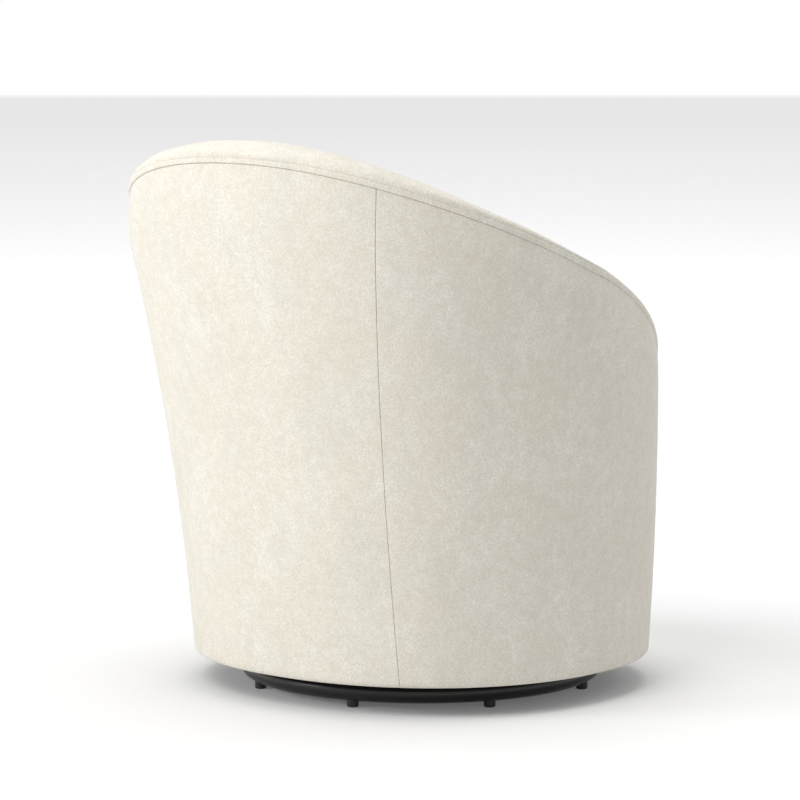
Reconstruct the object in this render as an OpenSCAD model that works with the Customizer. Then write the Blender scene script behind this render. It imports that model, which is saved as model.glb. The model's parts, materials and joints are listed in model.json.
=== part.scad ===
// Swivel barrel chair: an upholstered tub on a steel ring base, millimetres.
// +Z is up and the sitter faces -Y. A turn around the shell is measured from
// the middle of the back (0) to the sitter's right (90) and the front (180).

/* [Shell] */
// Height of the bottom edge of the cover above the floor
hem_z = 42; // [36:1:60]
// Height of the top seam at the middle of the back
back_z = 735; // [690:1:780]
// Height of the top seam an eighth of a turn from the back
quarter_z = 688; // [660:1:720]
// Height of the top seam at the side
side_z = 586; // [560:1:620]
// Height of the top seam at the front of the arms, before it is rounded down
arm_z = 456; // [430:1:490]
// Width of the shell at the hem
hem_w = 635; // [600:1:680]
// Width of the shell halfway up
waist_w = 689; // [660:1:730]
// Width of the shell at the height of the back
crown_w = 767; // [730:1:810]
// Depth of the shell at the hem
hem_d = 611; // [580:1:650]
// Depth of the shell halfway up
waist_d = 653; // [630:1:690]
// Depth of the shell at the height of the back
crown_d = 671; // [650:1:710]
// How far the shell leans back halfway up
waist_lean = 25; // [10:1:40]
// How far the shell leans back at the height of the back
crown_lean = 92; // [70:1:110]
// Fullness of the plan, where 2 is an ellipse
fullness = 2.17; // [2:0.01:2.6]
// Turn from the back to the front end of each arm
arm_turn = 130; // [124:1:134]
// Turn from the back to the vertical seam, at the hem
hem_seam_turn = 33; // [28:0.5:38]
// Turn from the back to the vertical seam, halfway up
waist_seam_turn = 31.5; // [28:0.5:38]
// Turn from the back to the vertical seam, at the top
crown_seam_turn = 35.7; // [30:0.5:40]
// How far the wall turns in below the top seam, at the middle of the back
back_shoulder = 20; // [8:1:26]
// How far the wall turns in below the top seam, at the arms
arm_shoulder = 1; // [0:1:6]
// Height over which the wall turns in at the back
shoulder_h = 96; // [80:1:110]

/* [Padding] */
// Thickness of the wall at the middle of the back, cover to cover
back_wall = 96; // [84:1:110]
// Thickness of the wall at the front of the arms, cover to cover
arm_wall = 68; // [62:1:76]
// Rise of the padded roll over the top seam at the back
back_roll = 33; // [26:1:44]
// Rise of the padded roll over the top seam at the arms
arm_roll = 14; // [12:1:26]
// Radius of the top seam where it turns down at the arm
seam_corner = 34; // [20:1:44]
// Thickness of the covering with its lining
cover_t = 3; // [2:0.5:4]
// Thickness of the fibre liner under the outer cover
liner_t = 3; // [2:0.5:5]
// Diameter of the welt cord along the top seam
welt_d = 7.5; // [6:0.5:9]

/* [Seat] */
// Top of the front apron and of the sprung seat deck
deck_z = 228; // [215:1:240]
// Thickness of the seat deck pad
deck_t = 8; // [6:1:12]
// Height of the cushion between its seams
cushion_h = 146; // [120:1:165]
// Rise of the cushion's crown over its top seam
cushion_crown = 36; // [20:1:46]
// Bulge of the cushion's border
cushion_bulge = 8; // [4:1:12]
// Radius of the cushion's front corners
cushion_corner = 18; // [12:1:26]

/* [Timber frame] */
// Thickness of the bottom board
board_t = 15; // [12:1:18]
// Thickness of the plywood seat frame
frame_t = 18; // [15:1:21]
// Width of the plywood seat frame
frame_w = 62; // [50:1:75]
// Depth of the ribs and of the top rail, through the wall
rib_t = 20; // [15:1:22]
// Width of each rib, along the wall
rib_w = 36; // [28:1:44]
// Height of the top rail
rail_h = 34; // [26:1:42]

/* [Springs] */
// Number of seat springs
springs = 5; // [4:1:6]
// Spacing of the seat springs
spring_gap = 82; // [70:1:90]
// Diameter of the spring wire
wire_d = 3.8; // [3:0.2:4.5]
// Thickness of the spring clips
clip_t = 1.2; // [1:0.1:1.5]
// Width of the spring clips
clip_w = 16; // [12:1:20]
// Width of a seat spring across its loops
spring_w = 46; // [36:1:54]
// Length of one wave of a spring
spring_pitch = 25; // [22:1:28]
// Number of bands of back webbing
webbing_bands = 3; // [2:1:3]
// Width of a webbing band
webbing_w = 50; // [40:1:60]
// Thickness of the webbing
webbing_t = 1.5; // [1:0.1:2]

/* [Ring base] */
// Radius of the ring, to the middle of its tube
ring_r = 241.5; // [225:0.5:255]
// Diameter of the ring tube
tube_d = 28; // [24:1:30]
// Wall of the ring tube
tube_wall = 2; // [1.5:0.25:3]
// Height of the middle of the ring tube
ring_z = 22; // [20:0.5:24]
// Number of glides under the ring
glides = 8; // [6:1:10]
// Diameter of a glide
glide_d = 16; // [12:1:20]
// Turn of the ring base against the seat
base_turn = -5; // [-22:1:22]
// Number of spokes
spokes = 4; // [3:1:6]
// Width of a spoke
spoke_w = 30; // [24:1:40]
// Height of a spoke
spoke_h = 16; // [14:1:18]
// Wall of a spoke
spoke_wall = 2; // [1.5:0.25:3]
// Width across the flats of the hub plate
hub_w = 190; // [180:1:210]
// Thickness of the hub plate
hub_t = 5; // [4:0.5:6]

/* [Swivel bearing] */
// Diameter of the swivel plates
swivel_d = 176; // [170:1:180]
// Thickness of the swivel plates
swivel_t = 2.5; // [2:0.25:3]
// Distance between the outer faces of the two swivel plates
swivel_h = 15; // [14:0.5:17]
// Radius of the ball circle
race_r = 50; // [44:1:54]
// Diameter of the bearing balls
ball_d = 7; // [6:0.5:8]
// Number of bearing balls
balls = 18; // [12:1:24]
// Diameter of the centre rivet
rivet_d = 20; // [16:1:24]
// Diameter of the bolts
bolt_d = 6; // [5:0.5:8]
// Radius of the bolt circle
bolt_r = 74; // [70:0.5:78]

/* [Hidden] */

// Clearances: between flat pieces, between the curved layers of the wall, between
// foam and its cover, round a bolt, round the rivet, and round a ball
gap = 0.3;
layer_gap = 0.75;
foam_gap = 1.2;
run_gap = 0.25;
pin_gap = 0.08;
race_gap = 0.06;

// Insets of the layers of the wall, from the outer face inwards
liner_in = cover_t + layer_gap;
rib_in = liner_in + liner_t + layer_gap;
webbing_in = rib_in + rib_t + layer_gap;
pad_in = webbing_in + webbing_t + layer_gap;
cover_gap = cover_t + foam_gap;

// Heights of the stack on the swivel axis
tube_r = tube_d / 2;
spoke_top = ring_z + spoke_h / 2;
plate_z = spoke_top + hub_t;
board_z = plate_z + swivel_h;
board_top = board_z + board_t;
deck_low = deck_z - deck_t;
frame_top = deck_low - wire_d - clip_t - gap;
frame_z = frame_top - frame_t;
cushion_z = deck_z + gap;
cushion_edge = 8;
cushion_low = cushion_z + cushion_edge;
cushion_top = cushion_low + cushion_h;
ball_z = plate_z + swivel_h / 2;

$fn = 64;

// Colours
ivory = [0.90, 0.87, 0.80];
black = [0.10, 0.10, 0.10];
steel = [0.70, 0.71, 0.73];
birch = [0.80, 0.67, 0.47];
foam = [0.93, 0.90, 0.70];
felt = [0.55, 0.54, 0.52];

// ---- The form of the shell ----

function mix(a, b, u) = a + (b - a) * u;
// A curve through three values at 0, 1/2 and 1
function through(v, u) = v[0] + u * (4 * v[1] - 3 * v[0] - v[2])
    + u * u * 2 * (v[0] - 2 * v[1] + v[2]);
function rise(z) = (z - hem_z) / (back_z - hem_z);
function plan_w(z) = through([hem_w, waist_w, crown_w], rise(z));
function plan_d(z) = through([hem_d, waist_d, crown_d], rise(z));
function plan_lean(z) = through([0, waist_lean, crown_lean], rise(z));
function seam_turn(z) = through([hem_seam_turn, waist_seam_turn, crown_seam_turn], rise(z));
function full(v) = sign(v) * pow(abs(v), 2 / fullness);

// A point of the wall: turn from the back, height, and inset from the outer face
function wall(t, z, in = 0) = let (s = in + shoulder(t, z)) [-(plan_w(z) / 2 - s) * full(sin(t)),
    plan_lean(z) + (plan_d(z) / 2 - s) * full(cos(t)), z];
function unit(v) = v / norm(v);

// Height of the top seam, a smooth curve through four heights
turns = [0, 45, 90, arm_turn];
heights = [back_z, quarter_z, side_z, arm_z];
function weight(i, c) = let (f = [for (j = [0:3]) if (j != i)
    (c - cos(turns[j])) / (cos(turns[i]) - cos(turns[j]))]) f[0] * f[1] * f[2];
function edge_z(t) = [for (i = [0:3]) heights[i] * weight(i, cos(t))] * [1, 1, 1, 1];
// How much a turn belongs to the back, from 1 at the back to 0 at the arm
function backness(t) = max(0, (cos(t) - cos(arm_turn)) / (1 - cos(arm_turn)));
// Below the top seam the wall turns in: the height where that starts, and how far it goes
function seam_z(t) = backness(t) > 0 ? edge_z(t) : arm_z;
function shoulder_z(t) = seam_z(t) - shoulder_h * mix(0.4, 1, backness(t));
function shoulder(t, z) = mix(arm_shoulder, back_shoulder, backness(t))
    * pow(max(0, min(1, (z - shoulder_z(t)) / (seam_z(t) - shoulder_z(t)))), 2);
// Heights of a line of the wall: n steps up to the shoulder, and m over it
function wall_rows(t, low, high, n = 3, m = 3) = let (bend = min(shoulder_z(t), mix(low, high, 0.9)))
    concat(steps(low, bend, n), steps(mix(bend, high, 1 / m), high, m - 1));
// The swivel axis stands behind the middle of the whole chair's box
chair_back = max([for (z = wall_rows(0, hem_z, back_z)) wall(0, z)[1]]);
chair_front = wall(180, deck_z)[1] - cushion_bulge;
swivel_y = -(chair_back + chair_front) / 2;
// Millimetres along the wall in one degree of turn, near the arm
deg = norm(wall(arm_turn, arm_z) - wall(arm_turn - 4, arm_z)) / 4;
// Near the arm the top seam turns down round a corner, tangent to its slope
fall = atan((edge_z(arm_turn - 4) - edge_z(arm_turn - 2)) / (2 * deg));
corner_turn = arm_turn - seam_corner / deg;
corner_z = edge_z(corner_turn + seam_corner * sin(fall) / deg) - seam_corner * cos(fall);
function steep(t) = norm([2 * deg, edge_z(t + 1) - edge_z(t - 1)]) / (2 * deg);
// Height of a line that runs beside the top seam, `out` beyond it
function edge(t, out = 0) = let (x = (abs(t) - corner_turn) * deg, r = seam_corner + out)
    x < r * sin(fall) ? edge_z(t) + out * steep(t) : corner_z + sqrt(max(0, r * r - x * x));
// The welt lies between the outer panel and the padded arm front
welt_r = welt_d / 2;
welt_turn = arm_turn + welt_r / deg;
nose_turn = arm_turn + welt_d / deg;

function wall_t(t) = mix(arm_wall, back_wall, backness(t));
function roll_h(t) = mix(arm_roll, back_roll, backness(t));

// ---- Lofts ----

function sum(v) = [for (i = [0:len(v) - 1]) 1] * v;
function backwards(v) = [for (i = [len(v) - 1:-1:0]) v[i]];
// Evenly spaced numbers from a to b, in n steps
function steps(a, b, n) = [for (i = [0:n]) mix(a, b, i / n)];
// Turns of a line beside the top seam: n steps from a, then m round its corner
function turns_to(a, out, n, m) = let (r = (seam_corner + out) / deg,
    c = corner_turn + r * sin(fall)) concat(steps(a, c - (c - a) / n, n - 1),
    [for (v = steps(fall, 90, m)) corner_turn + r * sin(v)]);
// The same turns on both sides of the back
function both_sides(ts) = concat([for (i = [len(ts) - 1:-1:1]) -ts[i]], ts);

// Triangles that close a ring of n points, each point paired across the ring
function cap(s, n) = [for (i = [0:n / 2 - 2]) let (a = s + i, b = s + i + 1,
    c = s + n - 2 - i, d = s + n - 1 - i) each [[a, b, c], [a, c, d]]];
function turned(faces) = [for (f = faces) [f[2], f[1], f[0]]];
// Square to a ring of points, by the right-hand rule
function facing(r) = sum([for (i = [0:len(r) - 1]) cross(r[i], r[(i + 1) % len(r)])]);
// A solid through rings of an even number of points
module loft(rings) {
    n = len(rings[0]);
    m = len(rings);
    sides = [for (j = [0:m - 2]) for (i = [0:n - 1])
        let (a = j * n + i, b = j * n + (i + 1) % n, c = b + n, d = a + n)
        each [[a, c, b], [a, d, c]]];
    faces = concat(sides, cap(0, n), turned(cap((m - 1) * n, n)));
    ahead = facing(rings[0]) * (sum(rings[1]) - sum(rings[0])) > 0;
    polyhedron([for (r = rings) each r], ahead ? faces : turned(faces));
}

// A sheet that follows the wall: a list of turns, and its heights by turn
module wall_sheet(ts, in, t, rows) {
    loft([for (a = ts) let (zs = rows(a)) concat([for (z = zs) wall(a, z, in)],
        [for (z = backwards(zs)) wall(a, z, in + t)])]);
}
module on_axis() { translate([0, swivel_y, 0]) children(); }
module mirrored() {
    children();
    mirror([1, 0, 0]) children();
}

// ---- Ring base ----

module base_ring() {
    on_axis() rotate(base_turn) color(black) difference() {
        translate([0, 0, ring_z]) rotate_extrude() translate([ring_r, 0]) difference() {
            circle(tube_r);
            circle(tube_r - tube_wall);
        }
        each_glide() cylinder(r = stem_d / 2 + gap / 2, h = ring_z);
    }
}
stem_d = glide_d / 2;
module each_glide() {
    for (i = [0:glides - 1]) rotate(180 / glides + i * 360 / glides)
        translate([ring_r, 0, 0]) children();
}
module glide_feet() {
    stem_top = ring_z - tube_r + tube_wall + 4;
    on_axis() rotate(base_turn) color(black) difference() {
        each_glide() {
            rotate_extrude() polygon([[0, 0], [glide_d / 2 - 1.5, 0], [glide_d / 2, 1.5],
                [glide_d / 2, ring_z - tube_r + 3], [0, ring_z - tube_r + 3]]);
            cylinder(r = stem_d / 2, h = stem_top);
        }
        difference() {
            translate([0, 0, ring_z]) rotate_extrude() translate([ring_r, 0]) circle(tube_r);
            each_glide() cylinder(r = stem_d / 2, h = stem_top + 1);
        }
    }
}
module base_spokes() {
    on_axis() rotate(base_turn) color(black) difference() {
        for (i = [0:spokes - 1]) rotate(i * 360 / spokes)
            translate([hub_inner, -spoke_w / 2, ring_z - spoke_h / 2]) difference() {
                cube([ring_r - hub_inner, spoke_w, spoke_h]);
                translate([-1, spoke_wall, spoke_wall])
                    cube([ring_r, spoke_w - 2 * spoke_wall, spoke_h - 2 * spoke_wall]);
            }
        translate([0, 0, ring_z]) rotate_extrude() translate([ring_r, 0]) circle(tube_r);
        translate([0, 0, ring_z - spoke_h]) difference() {
            cylinder(r = ring_r + tube_d, h = 2 * spoke_h);
            translate([0, 0, -1]) cylinder(r = ring_r - tube_r / 2, h = 2 * spoke_h + 2);
        }
    }
}
hub_inner = rivet_d / 2 + 24;
module each_bolt() {
    for (i = [0:3]) rotate(45 + 90 * i) translate([bolt_r, 0, 0]) children();
}
module hub_plate() {
    on_axis() rotate(base_turn) color(black) translate([0, 0, spoke_top]) difference() {
        linear_extrude(hub_t) intersection() {
            square(hub_w, center = true);
            circle(r = hub_w * 0.62);
        }
        translate([0, 0, -1]) cylinder(r = rivet_d / 2 + 8, h = hub_t + 2);
        each_bolt() translate([0, 0, -1]) cylinder(r = bolt_d / 2 + run_gap, h = hub_t + 2);
    }
}
module base_bolts() {
    on_axis() rotate(base_turn) color(steel) each_bolt() {
        translate([0, 0, plate_z + swivel_t]) rotate_extrude() polygon([[0, 0], [bolt_d, 0],
            [bolt_d, 1], [bolt_d * 0.7, 3], [0, 3]]);
        translate([0, 0, spoke_top - bolt_d - 2]) cylinder(r = bolt_d / 2,
            h = hub_t + swivel_t + bolt_d + 2.01);
    }
}
module base_nuts() {
    on_axis() rotate(base_turn) color(steel) each_bolt()
        translate([0, 0, spoke_top - bolt_d * 0.85]) difference() {
            cylinder(d = bolt_d * 1.9, h = bolt_d * 0.85, $fn = 6);
            translate([0, 0, -1]) cylinder(r = bolt_d / 2 + 0.02, h = bolt_d + 1);
        }
}

// ---- Swivel bearing ----

race_w = ball_d * 1.3;
race_lift = swivel_h / 2 - swivel_t - 1.2;
// Half section of a plate with its raised race, flat side at zero
module plate_section(hole) {
    difference() {
        union() {
            translate([hole, 0]) square([swivel_d / 2 - hole, swivel_t]);
            translate([race_r - race_w, 0]) polygon([[0, 0], [2 * race_w, 0],
                [2 * race_w, swivel_t], [2 * race_w - 3, swivel_t + race_lift],
                [3, swivel_t + race_lift], [0, swivel_t]]);
        }
        translate([race_r, swivel_h / 2]) circle(ball_d / 2 + race_gap);
    }
}
module swivel_lower_plate() {
    on_axis() rotate(base_turn) color(steel) translate([0, 0, plate_z]) difference() {
        rotate_extrude() plate_section(rivet_d / 2);
        each_bolt() translate([0, 0, -1]) cylinder(r = bolt_d / 2 + run_gap, h = swivel_t + 2);
    }
}
module swivel_upper_plate() {
    on_axis() color(steel) translate([0, 0, board_z]) mirror([0, 0, 1]) difference() {
        rotate_extrude() plate_section(rivet_d / 2 + pin_gap);
        each_bolt() translate([0, 0, -1]) cylinder(r = bolt_d / 2 + run_gap, h = swivel_t + 2);
    }
}
module swivel_rivet() {
    on_axis() color(steel) translate([0, 0, plate_z]) rotate_extrude()
        polygon([[rivet_d / 2 - 3, -2.5], [rivet_d / 2 + 5, -2.5], [rivet_d / 2 + 5, 0],
            [rivet_d / 2, 0], [rivet_d / 2, swivel_h + run_gap],
            [rivet_d / 2 + 5, swivel_h + run_gap], [rivet_d / 2 + 5, swivel_h + 2.5],
            [rivet_d / 2 - 3, swivel_h + 2.5]]);
}
module each_ball() {
    for (i = [0:balls - 1]) rotate(i * 360 / balls) translate([race_r, 0, ball_z]) children();
}
module bearing_balls() {
    on_axis() color(steel) each_ball() sphere(d = ball_d);
}
module ball_cage() {
    on_axis() color(ivory) difference() {
        translate([0, 0, ball_z - 0.6]) rotate_extrude()
            translate([race_r - race_w + 1, 0]) square([2 * race_w - 2, 1.2]);
        each_ball() cylinder(r = ball_d / 2 + 0.05, h = 4, center = true);
    }
}
module seat_bolts() {
    on_axis() color(steel) each_bolt() {
        translate([0, 0, board_z - swivel_t - 2.5]) cylinder(r = bolt_d * 0.85, h = 2.5);
        translate([0, 0, board_z - swivel_t - 0.01])
            cylinder(r = bolt_d / 2, h = swivel_t + board_t + 3);
    }
}
module tee_nuts() {
    on_axis() color(steel) each_bolt() difference() {
        union() {
            translate([0, 0, board_top]) cylinder(r = bolt_d * 1.5, h = 1.5);
            translate([0, 0, board_top - board_t * 0.6])
                cylinder(r = bolt_d * 0.7, h = board_t * 0.6 + 0.01);
        }
        translate([0, 0, board_z]) cylinder(r = bolt_d / 2 + 0.02, h = board_t + 5);
    }
}

// ---- Timber frame ----

// The plan at a height, as a flat polygon; the inset may change with the turn
function outline(z, in) = [for (t = steps(0, 355, 71)) let (p = wall(t, z, in(t))) [p[0], p[1]]];
module plan(z, in) { polygon(outline(z, function(t) in)); }
module bottom_board() {
    on_axis() color(birch) translate([0, 0, board_z]) difference() {
        linear_extrude(board_t) plan(board_z, rib_in);
        translate([0, 0, -1]) cylinder(r = rivet_d / 2 + 8, h = board_t + 2);
        each_bolt() {
            translate([0, 0, -1]) cylinder(r = bolt_d / 2 + run_gap, h = board_t);
            translate([0, 0, board_t * 0.4]) cylinder(r = bolt_d * 0.7 + 0.02, h = board_t);
        }
    }
}
module seat_frame() {
    on_axis() color(birch) translate([0, 0, frame_z]) linear_extrude(frame_t) difference() {
        plan(frame_z, rib_in);
        plan(frame_z, rib_in + frame_w);
    }
}
// Half the width of a rib as a turn, and the turns of the ribs in the wall
rib_half = rib_w / 2 / deg;
rib_turns = [for (i = [-3:3]) i * (arm_turn - rib_half - 1) / 3];
post_turns = concat(rib_turns, [152, -152]);
// A rib through heights that are functions of the turn
module rib(t, rows) {
    corners = [[t - rib_half, rib_in], [t + rib_half, rib_in],
        [t + rib_half, rib_in + rib_t], [t - rib_half, rib_in + rib_t]];
    sides = [for (c = corners) [for (z = rows(c[0])) wall(c[0], z, c[1])]];
    loft([for (i = [0:len(sides[0]) - 1]) [for (side = sides) side[i]]]);
}
module lower_posts() {
    on_axis() color(birch) for (t = post_turns) rib(t, function(a) steps(board_top, frame_z, 2));
}
module wall_ribs() {
    on_axis() color(birch) for (t = rib_turns)
        rib(t, function(a) wall_rows(a, frame_top, rail_low(a) - layer_gap, 5, 2));
}
// The top rail's upper and lower edges
rail_top = function(t) edge(t) - 4;
rail_low = function(t) rail_top(t) - rail_h;
module top_rail() {
    on_axis() color(birch) loft([for (t = both_sides(steps(0, arm_turn - 1, 22)))
        [wall(t, rail_low(t), rib_in), wall(t, rail_top(t), rib_in),
        wall(t, rail_top(t), rib_in + rib_t), wall(t, rail_low(t), rib_in + rib_t)]]);
}

// ---- Springs, deck and webbing ----

function spring_x(i) = (i - (springs - 1) / 2) * spring_gap;
// Where a line along Y crosses the seat frame's band: side is 1 at the back
function band_y(x, side) = let (in = rib_in + frame_w * 0.6, w = plan_w(frame_top) / 2 - in,
    d = plan_d(frame_top) / 2 - in)
    plan_lean(frame_top) + side * d * pow(1 - pow(abs(x) / w, fullness), 1 / fullness);
// A spring's whole waves, their length, and its end over the band
function spring_run(i) = band_y(spring_x(i), 1) - band_y(spring_x(i), -1);
function spring_waves(i) = floor(spring_run(i) / spring_pitch);
function spring_wave(i) = floor(spring_run(i) / spring_waves(i) * 10) / 10;
function spring_end(i, side) = round((band_y(spring_x(i), 1) + band_y(spring_x(i), -1)) / 2)
    + side * spring_waves(i) * spring_wave(i) / 2;
module spring(i) {
    wave = spring_wave(i);
    bar = spring_w - wave;
    translate([spring_x(i), spring_end(i, -1), frame_top + wire_d / 2]) for (k = [0:spring_waves(i)]) {
        translate([-bar / 2, k * wave, 0]) rotate([0, 90, 0])
            cylinder(r = wire_d / 2, h = bar, $fn = 16);
        side = k % 2 == 0 ? 1 : -1;
        if (k < spring_waves(i)) translate([side * bar / 2, (k + 0.5) * wave, 0]) rotate(-90 * side)
            rotate_extrude(angle = 180, $fn = 24) translate([wave / 2, 0]) circle(wire_d / 2, $fn = 16);
    }
}
module seat_springs() {
    on_axis() color(steel) for (i = [0:springs - 1]) spring(i);
}
module spring_clips() {
    on_axis() color(steel) for (i = [0:springs - 1]) for (side = [-1, 1])
        translate([spring_x(i) - clip_w / 2, spring_end(i, side), frame_top + wire_d / 2])
            rotate([90, 0, 90]) linear_extrude(clip_w) scale([side, 1]) clip_section();
}
module clip_section() {
    r = wire_d / 2;
    difference() {
        union() {
            circle(r + clip_t);
            translate([0, -r]) square([14, clip_t]);
        }
        circle(r + 0.02);
        translate([-20, -r - 10]) square([40, 10]);
    }
}
// The deck passes inside the ribs, and reaches the apron's liner at the front
module seat_deck() {
    in = function(t) abs(t > 180 ? t - 360 : t) < nose_turn ? webbing_in : rib_in;
    on_axis() color(felt) translate([0, 0, deck_low]) linear_extrude(deck_t)
        polygon(outline(deck_low, in));
}
module back_webbing() {
    on_axis() color(felt) for (k = [0:webbing_bands - 1]) {
        middle = function(t) mix(frame_top, rail_low(t), (k + 1) / (webbing_bands + 0.7));
        half = function(t) webbing_w / 2 * mix(0.5, 1, backness(t));
        wall_sheet([for (t = inner_turns) if (abs(t) < arm_turn - 4) t], webbing_in, webbing_t,
            function(t) [middle(t) - half(t), middle(t) + half(t)]);
    }
}

// ---- Liners and outer cover ----

front_turns = steps(nose_turn, 360 - nose_turn, 24);
module shell_liner() {
    on_axis() color(felt) wall_sheet(both_sides(turns_to(0, 0, 24, 3)), liner_in, liner_t,
        function(t) wall_rows(t, hem_z + cover_t, edge(t) - 6));
}
module apron_liner() {
    on_axis() color(felt) wall_sheet(front_turns, liner_in, liner_t,
        function(t) steps(hem_z + cover_t, deck_low, 3));
}
module front_apron() {
    on_axis() color(ivory) wall_sheet(front_turns, 0, cover_t,
        function(t) steps(hem_z, deck_z, 4));
}
seam_half = gap / 2 / deg;
// Turn at which a share u of the side panel meets the top seam
function top_turn(u, n = 4) = n == 0 ? mix(crown_seam_turn, arm_turn, u)
    : mix(seam_turn(edge(top_turn(u, n - 1))), arm_turn, u);
function panel_ring(zs, turn) = concat([for (z = zs) wall(turn(z), z)],
    [for (z = backwards(zs)) wall(turn(z), z, cover_t)]);
module outer_side() {
    shares = [for (t = turns_to(crown_seam_turn, 0, 15, 5))
        (t - crown_seam_turn) / (arm_turn - crown_seam_turn)];
    loft([for (u = shares) let (t = top_turn(u)) panel_ring(wall_rows(t, hem_z, edge(t)),
        function(z) mix(seam_turn(z) + seam_half, arm_turn, u))]);
}
module outer_side_panel_right() {
    on_axis() color(ivory) outer_side();
}
module outer_side_panel_left() {
    on_axis() color(ivory) mirror([1, 0, 0]) outer_side();
}
// Turn at which a share u of the back panel meets the top seam
function back_turn(u, n = 3) = u * seam_turn(n == 0 ? back_z : edge(back_turn(u, n - 1)));
module outer_back_panel() {
    on_axis() color(ivory) loft([for (u = steps(-1, 1, 16)) let (t = back_turn(u))
        panel_ring(wall_rows(t, hem_z, edge(t)), function(z) u * (seam_turn(z) - seam_half))]);
}

// ---- Welt ----

// The welt's middle, along the top seam and down the front of one arm
welt_in = welt_r * 0.5;
welt_half = concat([for (t = turns_to(0, welt_r, 24, 5)) wall(t, edge(t, welt_r), welt_in)],
    [for (i = [1:5]) wall(welt_turn, mix(corner_z, hem_z + 1, i / 5), welt_in)]);
// The cord is thinner where the wall is narrower than at the arm
function welt_size(z) = welt_r * min(1, plan_w(z) / plan_w(arm_z)) - layer_gap;
module top_welt() {
    path = concat([for (i = [len(welt_half) - 1:-1:1])
        [-welt_half[i][0], welt_half[i][1], welt_half[i][2]]], welt_half);
    last = len(path) - 1;
    on_axis() color(ivory) loft([for (i = [0:last])
        let (way = unit(path[min(i + 1, last)] - path[max(i - 1, 0)]),
        side = unit(cross(way, [path[i][0], path[i][1], 0])), up = cross(side, way))
        [for (v = [0:45:315]) path[i] + (up * cos(v) + side * sin(v)) * welt_size(path[i][2])]]);
}

// ---- Inner padding and cover ----

// The section of the roll: share across the wall, and share of its rise
roll_section = [for (v = steps(0, 180, 6)) [(1 - cos(v)) / 2, sin(v)]];
function roll_base(t) = edge_z(t) + welt_d * steep(t);
function roll_rise(t) = roll_h(t) - welt_d;
wall_turns = turns_to(0, welt_d, 15, 4);
inner_turns = both_sides(wall_turns);
// The line of the inner skin at a turn, from the seam over the roll to the deck:
// s in from the cover's face, and starting at least `first` in from the outside
function skin(t, s, first = 0) = let (w = wall_t(t), base = roll_base(t)) concat(
    [wall(t, edge(t, welt_d), max(s, first))],
    [for (i = [1:len(roll_section) - 1]) let (p = roll_section[i])
        wall(t, base + p[1] * (roll_rise(t) - s), mix(s, w - s, p[0]))],
    [for (i = [1:4]) wall(t, mix(base, deck_z, i / 4), w - s)]);
module inner_cover() {
    on_axis() color(ivory) loft([for (t = inner_turns)
        concat(skin(t, 0), backwards(skin(t, cover_t)))]);
}
// The pad lies over the top rail, and inside the ribs below it
module back_pad() {
    on_axis() color(foam) loft([for (t = inner_turns)
        let (a = skin(t, cover_gap, welt_r * 1.5 + gap), over = a[0][2] - 1, low = len(a) - 5)
        concat(a, [for (z = steps(deck_z, over, low)) wall(t, z, pad_in)],
            [for (u = [1:4]) wall(t, over, mix(pad_in, welt_r * 1.5 + gap, u / 4))])]);
}

// ---- Arm fronts ----

nose_top = roll_base(nose_turn);
nose_rise = roll_rise(nose_turn);
// The end of the wall at a height: its middle, its direction inwards, half its
// width, and the direction square to it, ahead
function nose(z) = let (a = wall(nose_turn, z), b = wall(nose_turn, z, arm_wall),
    across = unit(b - a)) [(a + b) / 2, across, norm(b - a) / 2, [across[1], -across[0], 0]];
// A point in front of the end of the wall, at an angle, r away from its middle
function round_nose(n, v, r) = n[0] + n[3] * gap + (n[3] * sin(v) - n[1] * cos(v)) * r;
// Half disc in front of the end of the wall, at a height, s in from the face
function nose_ring(z, s) = let (n = nose(min(z, nose_top)),
    u = max(0, z - nose_top) / (nose_rise - s), r = (n[2] - s) * sqrt(max(0, 1 - u * u)))
    [for (v = steps(0, 180, 11)) let (p = round_nose(n, v, r)) [p[0], p[1], z]];
function nose_levels(low, s) = concat(steps(low, nose_top, 4),
    [for (v = [24, 46, 64, 80]) nose_top + sin(v) * (nose_rise - s)]);
module arm_pads() {
    on_axis() color(foam) mirrored()
        loft([for (z = nose_levels(deck_z + gap, cover_gap)) nose_ring(z, cover_gap)]);
}
module arm_front() {
    difference() {
        loft([for (z = nose_levels(deck_z + gap, 0)) nose_ring(z, 0)]);
        loft([for (z = nose_levels(deck_z + gap - 1, cover_t))
            let (back = nose(min(z, nose_top))[3] * 0.2)
            [for (p = nose_ring(z, cover_t)) p - back]]);
    }
}
module arm_front_right() {
    on_axis() color(ivory) arm_front();
}
module arm_front_left() {
    on_axis() color(ivory) mirror([1, 0, 0]) arm_front();
}

// ---- Seat cushion and dust cover ----

cushion_middle = [0, plan_lean(deck_z) - 40];
crown_fullness = 4;
ear_draw = 1.2;
// Half of the cushion's plan: inside the wall, round the arm front, then along
// the front of the shell; `in` draws it in, and the front goes `out` first
function cushion_half(z, in, out) = let (n = nose(z), r = (n[2] + layer_gap + in) / cos(15),
    corner = max(2, cushion_corner - in),
    ear = nose_turn + (n[2] + gap + in + ear_draw * max(0, in - cover_gap)) / deg) concat(
    [for (i = [1:2:15]) wall(wall_turns[i], z, wall_t(wall_turns[i]) + layer_gap + in)],
    [for (v = [180, 150, 120, 90]) round_nose(n, v, r)],
    [for (v = [0:30:60]) wall(ear + corner / deg * (1 - cos(v)), z,
        corner * (1 - sin(v)) - out + in)],
    [for (t = steps(ear + corner / deg, 176, 7)) wall(t, z, in - out)]);
function cushion_ring(z, in, out) = let (half = cushion_half(z, in, out))
    concat(half, [for (p = backwards(half)) [-p[0], p[1], p[2]]]);
function level(ring, z) = [for (p = ring) [p[0], p[1], z]];
function toward_middle(ring, u, z) = [for (p = ring)
    [mix(p[0], cushion_middle[0], u), mix(p[1], cushion_middle[1], u), z]];
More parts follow.
